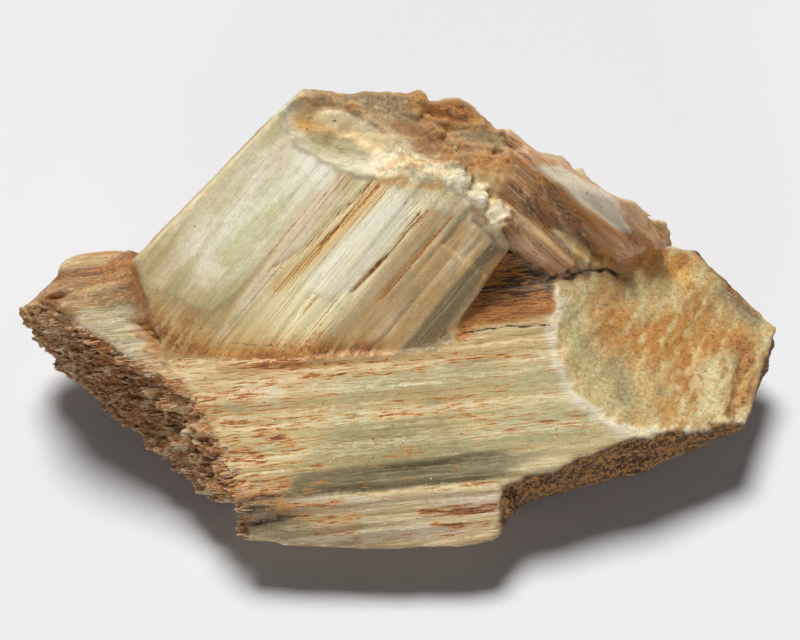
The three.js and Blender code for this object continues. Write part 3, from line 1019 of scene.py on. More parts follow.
    def stain_end(self) -> None:
        """A cream rim, grey-green stone beside it, ochre and rust clouds over the rest, and painted light
        on the band under the rear lump.
        """
        part = self.part(Face.END)
        place = part.flat(self.end_axes)
        s, w = place.T
        swept = np.stack([0.81 * s + 0.59 * w, 0.81 * w - 0.59 * s], axis=1)
        drift = noise(57, place, 0.28, 5, 0.6)
        brush = noise(58, swept, (0.5, 0.95), 5, 0.7)
        grains = noise(50, place, (2.2, 1.8), 3, 0.7)
        mottle = 0.5 * brush + 0.8 * grains
        warm = brushed(
            place,
            (((4.8, -9.6), (3.3, -11.3), (1.9, -12.4)), 1.5, 0.95),
            (((4.1, -8.3), (6.8, -10.1)), 1.0, 0.7), (((6.2, -12.2), (8.6, -13.4)), 1.0, 0.85),
            (((5.2, -1.2), (8.3, -3.6), (10.4, -6.2)), 1.1, 0.95),
            (((1.6, -4.9), (2.4, -8.6)), 1.7, 0.75), (((9.2, -8.4), (8.2, -10.2)), 0.9, 0.6),
            (((-1.2, -13), (-1.8, -14.2)), 0.7, 0.5),
        )
        warm = np.clip(warm + 0.1, 0, 1)
        pale = brushed(
            place,
            (((5.8, -13.8), (3.6, -14.2), (2.4, -15)), 1.2, 0.95),
            (((2.8, -13.1), (0.8, -15.2), (2.4, -17.6)), 1.2, 0.9), (((10.4, -8), (11, -9)), 0.9, 0.7),
            (((4.7, -5.4), (3.4, -7.1)), 0.3, 0.8), (((11.6, -14.4), (9.8, -15.6)), 0.5, 0.9),
        )
        smooth = brushed(
            place,
            (((-0.7, -2.2), (-2.9, -4.6), (-3.4, -6.4)), 1.2, 0.95),
            (((-3.6, -6.8), (-4.8, -9.2)), 1.2, 0.9), (((-2.4, -8), (-3.4, -9.8)), 1.2, 0.9),
        )
        shade = brushed(
            place,
            (((-1.6, -7.8), (-3.2, -9.6)), 0.9, 0.9), (((-1.7, -3.6), (-2.2, -5.6)), 0.6, 0.4),
            (((5.4, -4.3), (4.7, -5)), 0.4, 0.7),
        )
        yellow = Stroke(((-1, -12.4), (-2.4, -12.9)), 0.8, 0.7).at(place)
        rim = ramp(distance_to_line(place, self.end_rim) + 0.8 * mottle, 0.7, 0.15)
        ragged = place + 0.6 * grains[:, None]
        notch = Stroke(NOTCH_CRACK, 0.9).at(ragged)
        part.lay(
            sand=1.0, tan=0.75 * ramp(drift + 0.5 * brush, -0.2, 0.15),
            cream=0.7 * ramp(mottle + 0.4 * drift, -0.12, -0.4),
            gold=0.9 * warm * ramp(mottle, -0.5, -0.1),
            orange=0.85 * warm * ramp(mottle + 0.3 * drift, -0.25, 0.15),
            rust=0.5 * warm * ramp(mottle + 0.5 * drift, 0.15, 0.4),
        )
        part.lay(
            cream=0.8 * pale * ramp(mottle, 0.35, 0.0), khaki=0.5 * smooth,
            sage=smooth * (0.6 + 0.5 * mottle), grey=0.9 * shade,
        )
        part.lay(grey=0.8 * Stroke(((-0.2, -11.2), (-0.7, -11.8)), 0.35).at(place))
        part.lay(
            grey=Stroke(((11.3, -10.6), (11, -13.8)), 0.8, 0.9).at(place),
            brown=Stroke(((11.8, -11), (11.6, -13.6)), 0.4, 0.6).at(place),
            gold=0.7 * yellow + 0.5 * Stroke(((6.9, -10),), 0.8).at(place), white=0.85 * rim,
            rust=0.9 * notch * ramp(mottle, -0.15, 0.1),
        )
        part.lay(brown=0.7 * notch * ramp(grains, 0.05, 0.25))
        part.tone((0.79, 0.75, 0.6))
        # painted light: the band under the rear lump is made golden and brighter, against the shadow that
        # the lump casts
        painted_light = Stroke(((5.5, -0.5), (7.5, -3.5), (9.5, -7)), 1.0).at(place)
        part.lay(gold=0.3 * painted_light)
        part.dim(-painted_light, (0.3, 0.22, 0.1))
        rust = 0.1 + 0.4 * warm + 0.4 * mottle * warm - 0.2 * smooth - 0.2 * rim - 0.1 * pale
        rust += brushed(
            place,
            (NOTCH_CRACK, 0.5, 0.5), (((-0.2, -13.9), (0.4, -14.6)), 0.2, 0.6),
        )
        cracks = brushed(place, *((crack.line, 0.13) for crack in self.end_cracks[:2]))
        part.add(
            rust=np.clip(rust + 0.7 * cracks, 0, 1),
            dark=0.6 * cracks + 0.5 * Stroke(((-0.4, -11.4),), 0.25).at(place), coarse=1.0, dull=0.35,
        )

    def darken_cracks(self) -> None:
        """Dark cracks where the rear crystal meets the broken right end."""
        part = self.part(Face.END, Face.REAR, Face.MASS, Face.BROAD)
        place = self.end_axes.local(part.points)
        ragged = place[:, :2] + 0.25 * noise(96, part.points, 1.5, 3, 0.6)[:, None]
        near = ramp(np.abs(place[:, 2]), 1.6, 0.9)
        crack = brushed(ragged, *((crack.line, 0.1) for crack in self.end_cracks[:2])) * near
        brown = brushed(ragged, *((crack.line, 0.3) for crack in self.end_cracks[:2])) * near
        part.lay(brown=0.7 * brown)
        part.add(dark=0.65 * crack)

    def stain_breaks(self) -> None:
        """Rusty walls darkened with painted shade, and a torn end that is dark within and pale at its tips.
        """
        standing = self.skin.standing(14)
        torn = self.part(Face.TORN)
        proud = standing[torn.index]
        grain = noise(18, torn.points, (1.5, 2.2, 2.2), 3, 0.7)
        place = self.axes.local(torn.points)
        lift = ramp(place[:, 2], -2.6, -0.6)
        corner = ramp(distance_to_line(place[:, :2], ARM_CREASE), 2.6, 1.4)
        torn.lay(
            rust=1.0, orange=0.6 * lift, brown=(0.8 - 0.5 * lift) * ramp(grain, -0.2, 0.2),
            umber=0.9 * ramp(proud + 0.1 * grain, 0.04 - 0.06 * lift, -0.14),
            tan=0.75 * ramp(proud + 0.12 * grain, 0.06, 0.22),
            rose=0.7 * ramp(proud + 0.15 * grain, 0.16, 0.34),
        )
        torn.lay(
            orange=0.8 * corner * ramp(grain, -0.2, 0.1),
            tan=0.7 * ramp(place[:, 1], 15.5, 17.5) * ramp(grain, -0.25, 0.05),
        )
        torn.add(
            rust=0.35 - 0.3 * ramp(proud, 0.0, 0.25),
            dark=0.6 * ramp(proud, -0.08, -0.3) * (1 - corner), coarse=0.7, dull=0.9,
        )
        wall = self.part(Face.WALL, Face.NOTCH)
        proud = standing[wall.index]
        right = ramp(self.axes.local(wall.points)[:, 0], 7.3, 8)
        grain = noise(29, wall.points, 1.2, 4, 0.7)
        wall.lay(
            tan=0.9 * right, rust=0.9 * right * ramp(grain, -0.15, 0.15),
            umber=0.6 * right * ramp(grain + 2 * proud, -0.05, -0.3),
        )
        # painted shade: the right wall, which faces down and forward, is dimmed far below its rusty colour
        wall.dim(right, (0.8, 0.84, 0.88))
        wall.add(
            rust=right * (0.45 - 0.3 * ramp(proud, 0.03, 0.2)),
            dark=right * (0.1 + 0.6 * ramp(proud, -0.02, -0.2)), coarse=right, dull=0.3 + 0.5 * right,
        )


# ---- the upper crystal


@dataclass
class UpperCrystal(Growth):
    """The big crystal that leans back: its broad face, bevel, sides and broken top."""

    axes: Axes = UPPER_AXES
    top_axes: Axes = TOP_AXES
    grooves: tuple[Stroke, ...] = (
        Stroke(((18.6, 1.9), (15.5, 2.1), (12.5, 2.4)), 0.12, 0.28),
        Stroke(((12.5, 2.4), (9.4, 2.6), (7.6, 3.1), (6.2, 3.6)), 0.1, 0.15),
        Stroke(((17.4, 1.5), (13, 1.6), (9.8, 1.9)), 0.16, 0.14),
        Stroke(((16.5, -2.4), (12.8, -2.7), (11, -2.4), (8.4, -2.2)), 0.12, 0.22),
        Stroke(((12.4, -2.6), (10.6, -2.5)), 0.1, 0.2), Stroke(((18, -4.6), (9.5, -4.4)), 0.1, 0.2),
        Stroke(((16.5, -6.4), (6, -6.6)), 0.1, 0.18), Stroke(((8, 0.2), (1.5, -0.2)), 0.1, 0.2),
    )
    shelves: tuple[Shelf, ...] = (
        Shelf(
            (
                (-1.4, 13), (-1.4, 10.5), (-0.8, 9.3), (-0.4, 7.7), (-0.1, 6), (0.4, 5.1),
                (1.8, 4.7), (4.8, 4.5), (7.8, 4.4), (7, 4.3), (2, 4), (-5, 3), (-5, 13),
            ),
            -0.09,
        ),
        Shelf(((20, -2.9), (20, -12), (3, -12), (1, -8), (3, -3.2), (9, -2.3), (14, -2.7)), -0.14),
        Shelf(((16.5, -0.2), (15.8, -1.9), (7, -1.6), (6.5, 0.3), (10, 0.2)), 0.1),
        Shelf(((15.8, -5.2), (20, -5), (20, -12), (16, -11.2)), -0.2),
        Shelf(((18.6, -5.9), (22, -5.6), (22, -8.4), (18.6, -8.2)), -0.4),
    )
    rim: Line = ((-1.2, 6.6), (0.2, 4.9), (0.6, 3.2), (0.8, 1.7))
    foot: Line = (
        (-3.2, 9), (-3.4, 6.8), (-3.2, 5.4), (-2.7, 3.8), (-1.4, 1.9), (0, 0), (2.1, -2.3), (4.8, -5.1),
        (7.4, -7.8),
    )
    crown: Line = ((-0.3, 0.2), (0.6, -1.8), (1.4, -3.6), (2, -5.2), (2.6, -7.5), (2.8, -9.9))
    front_edge: Line = (
        (-2.1, 9), (-3.9, 7.9), (-4.1, 6.7), (-4.3, 4.8), (-3.7, 3.6), (-2.1, 2.2), (-0.4, 0.3), (1, 0.8),
    )

    seam: Line = ((4.6, 1.6), (4, -1.5), (3.5, -3.5), (3, -6))
    blocks: tuple[tuple[Point, float], ...] = (((7.4, 3.3, 20.4), 1.35), ((6.2, 4.1, 21.9), 1.3))

    def break_up(self) -> None:
        """Carve the cleavage steps, the long grooves, and the rim and crown of the broken top."""
        part = self.part(Face.UPPER, Face.BEVEL)
        place = part.flat(self.axes)
        height = sum(shelf.rise(place) for shelf in self.shelves)
        height -= sum(groove.at(place) for groove in self.grooves)
        part.push(height, self.axes.basis[2])
        top = self.part(Face.TOP, Face.MASS)
        place = top.flat(self.top_axes)
        border, block = Noise(32).cells(top.points * 0.9)
        lumps = ramp(border, 0.0, 0.3) * (0.35 + 0.65 * block)
        uneven = 0.75 + 0.7 * noise(40, top.points, 0.9, 3, 0.6)
        raised = 0.55 * uneven * Stroke(self.rim, 0.45).at(place)
        raised += 0.75 * lumps * Stroke(self.crown, 0.8).at(place)
        rubble = noise(36, top.points, 0.7, 3, 0.6)
        raised += (0.3 + 1.3 * rubble) * Stroke(self.seam, 1.3).at(place)
        top.push(raised, self.top_axes.basis[2])
        rough = self.part(Face.TOP)
        place = rough.flat(self.top_axes)
        inner = ramp(distance_to_line(place, self.front_edge), 0.8, 2.2)
        rough.push((0.04 + 0.2 * inner) * noise(37, rough.points, 0.8, 3, 0.6))

    def refine(self) -> None:
        """Carve the striations, which grow stronger to the right, and the fine steps."""
        part = self.part(Face.UPPER, Face.BEVEL)
        place = part.flat(self.axes)
        right = ramp(place[:, 1], 5, -1)
        height = (0.008 + 0.022 * right) * striae(33, place, 0.6, 14)
        height += (0.008 + 0.024 * right) * terraces(noise(34, place, (0.03, 0.55), 3, 0.6), 6)
        nicks = ramp(noise(38, place, (0.3, 2.6), 2), 0.42, 0.6)
        part.push(height - 0.06 * right * nicks, self.axes.basis[2])
        sides = self.part(Face.SIDE)
        place = self.axes.local(sides.points)
        sides.push(0.05 * terraces(noise(35, place, (0.12, 0.8, 0.8), 2), 3))
        top = self.part(Face.TOP)
        top.push(0.09 * noise(39, top.points, 1.8, 3, 0.65))
        rubble = self.part(Face.TOP, Face.MASS)
        place = rubble.flat(self.top_axes)
        lumps = noise(93, rubble.points, 1.1, 3, 0.65)
        rubble.push(0.75 * lumps * Stroke(self.seam, 1.2).at(place))

    def stain(self) -> None:
        """Colour the upper crystal."""
        part = self.part(Face.UPPER, Face.BEVEL)
        part.follow(self.axes)
        self.part(Face.SIDE).follow(self.axes)
        self.stain_face(part)
        self.stain_top()
        side = self.part(Face.SIDE)
        clouds = noise(84, side.points, 0.35, 4, 0.6)
        grains = noise(87, side.points, 2.0, 3, 0.7)
        right = ramp(side.points[:, 0], 4, 7)
        low = ramp(BASE_AXES.local(side.points)[:, 2] + grains, 3.4, 1.2)
        crease = low * ramp(side.points[:, 0], -8, -10)
        side.lay(
            sage=0.8, gold=0.7 * right * ramp(clouds, -0.3, 0.1), tan=0.8 * ramp(clouds, -0.1, 0.2),
            rust=0.5 * ramp(clouds, 0.2, 0.4),
        )
        # rust and painted shade on the right of the side, which faces into the hollow under the upper
        # crystal
        side.lay(rust=0.7 * right * ramp(clouds, -0.2, 0.2))
        side.dim(right, (0.2, 0.36, 0.52))
        side.lay(orange=0.9 * crease, rust=0.8 * crease * ramp(grains, -0.1, 0.2))
        side.tone((0.76, 0.68, 0.56))
        side.add(
            coarse=crease, rust=0.25 + 0.4 * clouds + 0.2 * crease, long=0.8, ice=0.4 * (1 - right),
        )

    def stain_face(self, part: Part) -> None:
        """Green-cream stone, with ever more long rusty lines to the right.

        Args:
            part: The broad face and its bevel.
        """
        place = part.flat(self.axes)
        s, w = place.T
        drift = noise(61, place, (0.08, 0.3), 4)
        cloud = noise(64, place, (0.24, 0.3), 5, 0.6)
        frost = noise(67, place, (0.7, 0.8), 4, 0.6)
        right = ramp(w + 0.8 * drift, 4.4, 0.5)
        slab = ramp(w + 0.5 * drift, -2.6, -3.2)
        edge = ramp(w + 0.8 * cloud, 9.4, 11) * ramp(s, 19, 15)
        bright = Stroke(((3, 7.2), (9, 6.6), (15, 6.3)), 1.8).at(place)
        stains = brushed(
            place,
            (((15.5, 9.3), (12, 8.6)), 0.8, 0.6), (((10.4, 9.4), (8, 9.5)), 0.4, 0.5),
            (((12.4, 4.7), (8, 4.6), (4, 4.3)), 0.6, 0.4),
        )
        lens = Stroke(((7.4, 0.1), (11, 0.2), (16.4, -0.6)), 0.9).at(place)
        lens = np.maximum(lens, 0.7 * Stroke(((8.2, -1.5), (12, -1.4), (16.1, -1.5)), 0.6).at(place))
        below = ramp(depth_inside(place, self.shelves[0].outline), -0.06, 0.06)
        golden = brushed(
            place,
            (((17.6, 1.3), (14, 1.3), (10, 1.7), (5, 2.4)), 0.5, 0.8),
            (((16, 3.6), (10, 3.9), (4, 3.7)), 0.7, 0.4), (((3, -3.5), (1.5, -7)), 0.9, 0.3),
        )
        threads = noise(79, place, (0.35, 3.2), 3, 0.65)
        foot = Stroke(self.foot, 1.2).at(place + (1.5, 0.4) * threads[:, None]) * ramp(s, 9.5, 4)
        heel = 0.6 * Stroke(((-2.6, 8.5), (-1.8, 5.6)), 1.3).at(place) * ramp(frost, -0.3, 0.3)
        foot = np.maximum(foot, heel)
        bevel = ramp(w, -7.9, -8.4)
        part.lay(
            cream=0.9, khaki=(1 - right) * 0.5,
            sage=(1 - right) * ramp(cloud + 0.3 * frost, 0.3, -0.2) * 0.85,
            white=(1 - right) * ramp(cloud + 0.4 * frost, 0.0, 0.35) * 0.8,
        )
        part.lay(khaki=0.5 * edge, white=0.7 * bright * ramp(cloud + 0.5 * frost, -0.5, 0.0))
        part.lay(
            white=0.8 * Stroke(((14.4, 7.9), (14.1, 4.6)), 1.1).at(place),
            gold=0.5 * stains * ramp(frost, -0.2, 0.2), sand=0.25 * right * (1 - slab),
        )
        part.lay(
            white=0.95 * lens, rose=slab * (0.55 + 0.6 * cloud) * ramp(s, 3, 7),
            tan=slab * ramp(drift, -0.2, 0.2) * 0.9, sage=slab * ramp(s + 3 * cloud, 8, 3) * 0.7,
        )
        part.lay(
            white=slab * ramp(cloud, 0.15, 0.35) * 0.3,
            grey=slab * ramp(frost, 0.0, 0.25) * ramp(s, 8, 12) * 0.5, tan=0.5 * below,
            olive=0.35 * below * ramp(frost, -0.2, 0.3), gold=0.75 * golden,
        )
        part.lay(
            gold=0.9 * foot, orange=0.85 * foot * ramp(frost + threads, -0.2, 0.2),
            cream=0.6 * foot * ramp(threads - 0.5 * frost, -0.15, -0.35),
            rust=0.9 * Stroke(self.foot, 0.45).at(place) * ramp(frost + threads, -0.15, 0.15),
            olive=bevel * (0.95 + 0.4 * cloud), brown=0.4 * bevel,
        )
        part.lay(
            brown=bevel * ramp(s, 15, 19) * 0.4,
            white=0.5 * Stroke(((19, -6), (19, -8.1)), 0.7).at(place),
        )
        part.tone((0.97, 0.95, 0.86))
        lift = np.clip(right * (1 - slab) * (1 - 0.8 * lens) + 0.7 * bright, 0, 1) * (1 - 0.7 * below)
        part.dim(-lift, (0.3, 0.35, 0.45))
        low = np.maximum(foot, ramp(s + 1.5 * cloud, 5, 1) * ramp(w, -4, 0))
        part.dim(slab, (0.12, 0.13, 0.14))
        part.dim(low, (0.2, 0.28, 0.4))
        rust = 0.06 + 0.15 * drift + 0.22 * right - 0.2 * slab + 0.3 * golden
        rust += 0.16 * ramp(np.abs(w - 4.4), 1.8, 0.5) + 0.15 * stains
        rust -= 0.15 * lens + 0.1 * bevel + 0.05 * below
        rust += 0.35 * foot
        for groove in self.grooves[:6]:
            near = distance_to_line(place, groove.line)
            rust += (0.3 + 0.6 * groove.strength) * np.exp(-((near / 0.18) ** 2))
        cores = brushed(
            place,
            (((17.8, 1.95), (15.5, 2.1), (12.8, 2.4)), 0.1, 0.35),
            (((12.2, -2.6), (10.8, -2.45)), 0.08, 0.45),
        )
        part.add(
            rust=np.clip(rust, 0, 1),
            dark=cores + 0.6 * Stroke(((-0.6, 2.4), (0.6, 0.6), (1.6, -0.6)), 0.1).at(place),
            long=0.75 + 0.25 * right, coarse=0.85 * foot, ice=0.75 - 0.6 * right * (1 - slab),
        )

    def stain_top(self) -> None:
        """A cream front edge, an olive bowl, a pale rim, and rust behind."""
        part = self.part(Face.TOP)
        place = part.flat(self.top_axes)
        s, w = place.T
        mottle = noise(62, part.points, 0.5, 5, 0.62)
        grains = noise(65, part.points, 2.0, 3, 0.7)
        blur = mottle + 0.3 * grains
        part.lay(tan=1.0, grey=0.8 * ramp(blur, -0.1, 0.15), rust=0.35 * ramp(blur, -0.05, -0.3))
        part.tone((0.78, 0.7, 0.62))
        behind = ramp(s - 0.25 * w, 3.4, 4.4)
        outline = ((-3.6, 6.8), (-3.6, 4.2), (-1.9, 2.2), (-0.4, 1.4), (-0.9, 4.6), (-1.8, 7))
        bowl = ramp(depth_inside(place, outline) + 0.3 * mottle, -0.8, -0.1)
        lip = Stroke(self.front_edge, 0.9, 0.8).at(place)
        rim = Stroke(self.rim, 0.6, 0.95).at(place)
        part.lay(
            orange=0.7 * behind * ramp(blur, -0.3, 0.0), rust=0.8 * behind * ramp(blur, 0.05, 0.25),
            sand=0.5 * ramp(grains + 0.3 * mottle, 0.25, 0.45),
        )
        part.lay(sand=bowl, olive=0.35 * bowl * (1 + ramp(blur, -0.1, 0.2)), cream=0.85 * lip)
        part.lay(cream=0.95 * rim, gold=0.6 * rim * ramp(grains, 0.05, 0.3))
        dim = Stroke(((3.4, 3.0), (3.4, -0.3)), 1.2).at(place)
        part.dim(dim, (0.25, 0.3, 0.38))
        part.lay(rose=Stroke(((6.6, 0.2),), 1.0, 0.6).at(place))
        smooth = np.clip(lip + bowl + rim, 0, 1)
        rust = (0.16 + 0.3 * blur + 0.25 * behind) * (1 - 0.9 * smooth)
        specks = bowl * ramp(noise(63, part.points, 1.6, 2), 0.42, 0.55)
        part.add(
            rust=np.clip(rust, 0, 1),
            dark=0.8 * specks + 0.7 * Stroke(((6.1, 0.1), (5.8, -0.2)), 0.3).at(place),
            coarse=1 - 0.4 * smooth, ice=1.0, dull=0.4 + 0.4 * behind - 0.2 * smooth,
        )
        front = self.part(Face.UPPER)
        place = self.top_axes.local(front.points)
        away = np.hypot(distance_to_line(place[:, :2], self.front_edge), place[:, 2])
        edge = ramp(away, 0.3, 0.1)
        front.lay(cream=0.5 * edge)

    def stain_bowl(self) -> None:
        """A pale lip, an ochre and olive hollow behind it, and the cream ridge that closes it, painted
        paler as painted light.
        """
        part = self.part(Face.TOP, Face.MASS, Face.BACK, Face.SIDE)
        grains = noise(95, part.points, 1.6, 3, 0.65)
        place = self.top_axes.local(part.points)
        here = ramp(place[:, 2], -3.2, -2.4)
        place = place[:, :2] + 0.25 * grains[:, None]
        lip = Stroke(((-3.1, 9.6), (-4.3, 7.6), (-4.4, 5), (-3.4, 3.4), (-1.6, 1.8), (-0.3, 0.6)), 0.9)
        ochre = Stroke(((-3, 7.6), (-1.8, 5.6)), 0.8, 0.9)
        green = Stroke(((-3, 5.7), (-1.9, 4.4), (-0.9, 2.7)), 0.8, 0.9)
        # the ridge faces away from the lamp, so its colour is painted paler than its own: painted light
        ridge = Stroke(((-1.2, 6.2), (-0.2, 4), (0.2, 1.5)), 0.65)
        whole = np.zeros(len(place))
        for stroke, colour in (
            (lip, PALETTE.bone),
            (ochre, PALETTE.gold),
            (green, PALETTE.olive),
            (ridge, PALETTE.lit_honey),
        ):
            weight = here * stroke.at(place)
            part.cover(colour, weight)
            whole = np.maximum(whole, weight)
        part.lay(cream=0.5 * here * Stroke(self.rim, 0.3).at(place))
        part.clear(0.85 * whole, Amount.RUST, Amount.COARSE, Amount.DULL)

    def stain_crown(self) -> None:
        """Sugary cream lumps along the top of the broad face, with gold between them."""
        part = self.part(*(face for face in FACES if face is not Face.UNDERSIDE))
        place = self.top_axes.local(part.points)
        grains = noise(66, part.points, 1.5, 4, 0.7)
        clouds = noise(89, part.points, 0.7, 3, 0.6)
        lower = 0.7 * ramp(place[:, 0], 1.6, 0.4)
        near = ramp(place[:, 2] + lower, -0.95, -0.45) * (place[:, 2] < 2.2) * (part.points[:, 0] < 8)
        crown = ramp(distance_to_line(place[:, :2], self.crown) + 0.5 * grains, 1.8, 1.2) * near
        for centre, reach in self.blocks:
            away = np.linalg.norm(part.points - np.array(centre), axis=1)
            crown = np.maximum(crown, ramp(away + 0.3 * grains, reach, 0.8 * reach))
        part.lay(
            cream=0.95 * crown, white=0.7 * crown * ramp(grains, 0.0, 0.3),
            gold=0.7 * crown * ramp(clouds + 0.5 * grains, 0.18, 0.4),
        )
        part.dim(crown, (0.0, 0.03, 0.08))
        part.clear(0.9 * crown, Amount.RUST, Amount.DARK)
        part.add(coarse=0.8 * crown)


# ---- the rear of the specimen


@dataclass
class RearMass(Growth):
    """The rear crystal, the rusty mass between the crystals, the hidden back and underside."""

    axes: Axes = REAR_AXES
    back_axes: Axes = UPPER_AXES
    lumps: tuple[Lump, ...] = (
        Lump((-1.6, -1.2, -2.1), (2.2, 1.9, 1.6), REAR_AXES, 4),
        Lump((-21.6, 20.3, -1.1), (3.4, 1.7, 1.2), BASE_AXES, 2.6),
        Lump((2.4, -3.3, -2.2), (4.4, 0.55, 1.0), REAR_AXES, 5),
        Lump((5.6, -2.1, -1.9), (2.3, 0.35, 0.6), REAR_AXES, 5),
        Lump((1.2, -4.6, -2.6), (3.2, 0.45, 0.9), REAR_AXES, 5),
        Lump((3.7, 0.9, -1.4), (6.3, 0.6, 1.1), REAR_AXES, 5),
        Lump((6.9, 3.0, -1.2), (4.6, 0.45, 0.9), REAR_AXES, 5),
        Lump((-2.1, 1.3, -1.7), (2.7, 0.35, 0.6), REAR_AXES, 5),
        Lump((-1.3, -4.5, -0.9), (0.8, 0.75, 0.9), REAR_AXES, 8),
        Lump((6.7, 0.1, -0.5), (1.0, 1.1, 0.9), TOP_AXES, 3),
        Lump((5.6, -4.6, -0.75), (1.9, 1.7, 0.9), TOP_AXES, 4),
    )

    def break_up(self) -> None:
        """Carve the lumps of the mass, furrows of the rear crystal and steps of the back."""
        mass = self.part(Face.MASS)
        lumps = noise(41, mass.points, 0.45, 4, 0.6)
        pits = ramp(noise(42, mass.points, 0.9, 2), 0.2, 0.5)
        mass.push(0.6 * lumps - 0.45 * pits)
        rear = self.part(Face.REAR)
        place = self.axes.local(rear.points)
        rear.push(0.28 * striae(43, place, 1.3, 14) - 0.1)
        rear.push(0.1 * terraces(noise(49, place, (0.06, 0.5, 0.5), 2), 4))
        back = self.part(Face.BACK)
        slabs = Noise(44).layered(self.back_axes.local(back.points) * (0.09, 0.22, 0.22), 3, 0.55)
        back.push(0.22 * terraces(slabs, 7))
        broken = noise(85, back.points, 0.35, 4, 0.6)
        back.push(0.3 * broken)

    def refine(self) -> None:
        """Carve the grain of the mass and the striations of the rear crystal and back."""
        mass = self.part(Face.MASS)
        mass.push(0.28 * noise(45, mass.points, 1.7, 3, 0.65))
        rear = self.part(Face.REAR)
        place = self.axes.local(rear.points)
        rear.push(0.09 * striae(46, place, 0.5, 8))
        back = self.part(Face.BACK)
        place = self.back_axes.local(back.points)
        back.push(0.09 * striae(47, place, 0.8, 9) + 0.1 * noise(48, back.points, 1.4, 3))

    def stain(self) -> None:
        """Colour the rear."""
        standing = self.skin.standing(10)
        mass = self.part(Face.MASS)
        mottle = noise(71, mass.points, 0.45, 5, 0.62)
        grains = noise(75, mass.points, 2.2, 3, 0.7)
        blur = mottle + 0.3 * grains
        proud = standing[mass.index]
        mass.lay(
            tan=1.0, gold=0.7 * ramp(blur, -0.3, 0.1), orange=0.85 * ramp(blur, -0.1, 0.3),
            rust=0.7 * ramp(blur, 0.15, 0.5), olive=0.7 * ramp(blur, -0.15, -0.4),
            brown=0.8 * ramp(mottle - 0.5 * grains, 0.15, 0.4),
            sand=0.7 * ramp(proud + 0.25 * grains, 0.1, 0.2),
        )
        mass.tone((0.76, 0.7, 0.74))
        mass.add(
            rust=0.35 + 0.3 * mottle - 0.2 * ramp(proud, 0, 0.15), dark=0.5 * ramp(proud, -0.06, -0.25),
            coarse=1.0, ice=1.0, dull=0.8,
        )
        self.stain_rear(standing)
        back = self.part(Face.BACK)
        back.follow(self.back_axes)
        patches = noise(72, back.points, 0.2, 4)
        mottle = noise(86, back.points, 0.7, 4, 0.65)
        back.lay(
            sand=0.8, sage=0.8 * ramp(patches, 0.0, 0.3),
            tan=0.8 * ramp(patches + 0.5 * mottle, -0.05, -0.3),
            rust=0.6 * ramp(patches + 0.6 * mottle, -0.25, -0.45),
        )
        back.tone((0.74, 0.68, 0.58))
        back.add(
            rust=np.clip(0.4 - 0.6 * patches + 0.3 * mottle, 0, 1), long=0.4,
            coarse=0.5 * ramp(mottle, 0.0, 0.3), ice=0.3,
        )
        under = self.part(Face.UNDERSIDE)
        patches = noise(73, under.points, 0.3, 4)
        deep = ramp(under.points[:, 2], 0.5, 0.1)
        under.lay(tan=0.8 * deep * ramp(patches, -0.2, 0.3))
        under.add(rust=deep * (0.35 + 0.4 * patches), coarse=0.5 * deep)

    def stain_rear(self, standing: Array) -> None:
        """Brown and rosy bands, a glossy grey-white facet, a cream crest, a slender prism and a band of
        painted shade.

        Args:
            standing: How far each vertex of the skin stands out.
        """
        part = self.part(Face.REAR)
        part.follow(self.axes)
        place = part.flat(self.axes)
        s, w = place.T
        bands = noise(74, place, (0.05, 0.9), 4, 0.65)
        proud = standing[part.index]
        outline = (-0.8, 0.6), (3.1, 0.9), (7.0, 1.4), (8.6, 2.2), (5.3, 2.7), (0.6, 2.0)
        facet = ramp(depth_inside(place, outline) + 0.9 * bands, -0.25, 0.2)
        crest = Stroke(((-0.8, -3.7), (1.5, -3.4), (3.6, -3.1)), 0.3).at(place)
        prism = Stroke(((3.9, -1.8), (6, -2.1), (8, -2.4)), 0.3).at(place)
        # painted shade: a dark umber band along the rear crystal's lower facet, which faces down
        shade = Stroke(((-0.5, 0.1), (4, 0.3), (9, 1.2)), 0.45).at(place)
        part.lay(
            rust=0.85, rose=0.7 * ramp(bands, -0.05, 0.2), brown=0.8 * ramp(bands, -0.05, -0.3),
        )
        part.lay(
            rose=0.85 * ramp(w - 0.12 * s + 0.3 * bands, 1.5, 2.1),
            tan=0.6 * ramp(w - 0.12 * s + 0.5 * bands, 2.2, 2.7), sand=0.5 * ramp(proud, 0.03, 0.14),
            cream=0.4 * facet, white=0.5 * facet,
        )
        part.lay(
            rose=0.5 * facet * ramp(bands, 0.0, -0.2), grey=0.35 * facet * ramp(bands, -0.1, 0.2),
            sand=0.85 * crest, cream=0.85 * prism, gold=0.5 * crest * ramp(bands, 0, 0.2),
        )
        part.lay(
            rose=0.8 * Stroke(((1.5, -4.8), (4.6, -4.2)), 0.4).at(place),
            gold=Stroke(((10.6, 4.6),), 1.1, 0.8).at(place), umber=0.75 * shade,
        )
        pale = np.clip(facet + crest + prism, 0, 1)
        part.add(
            rust=np.clip(0.4 + 0.3 * bands - 0.3 * pale + 0.3 * shade, 0, 1), long=0.9,
            dull=0.3 - 0.3 * facet,
        )


# ---- finish


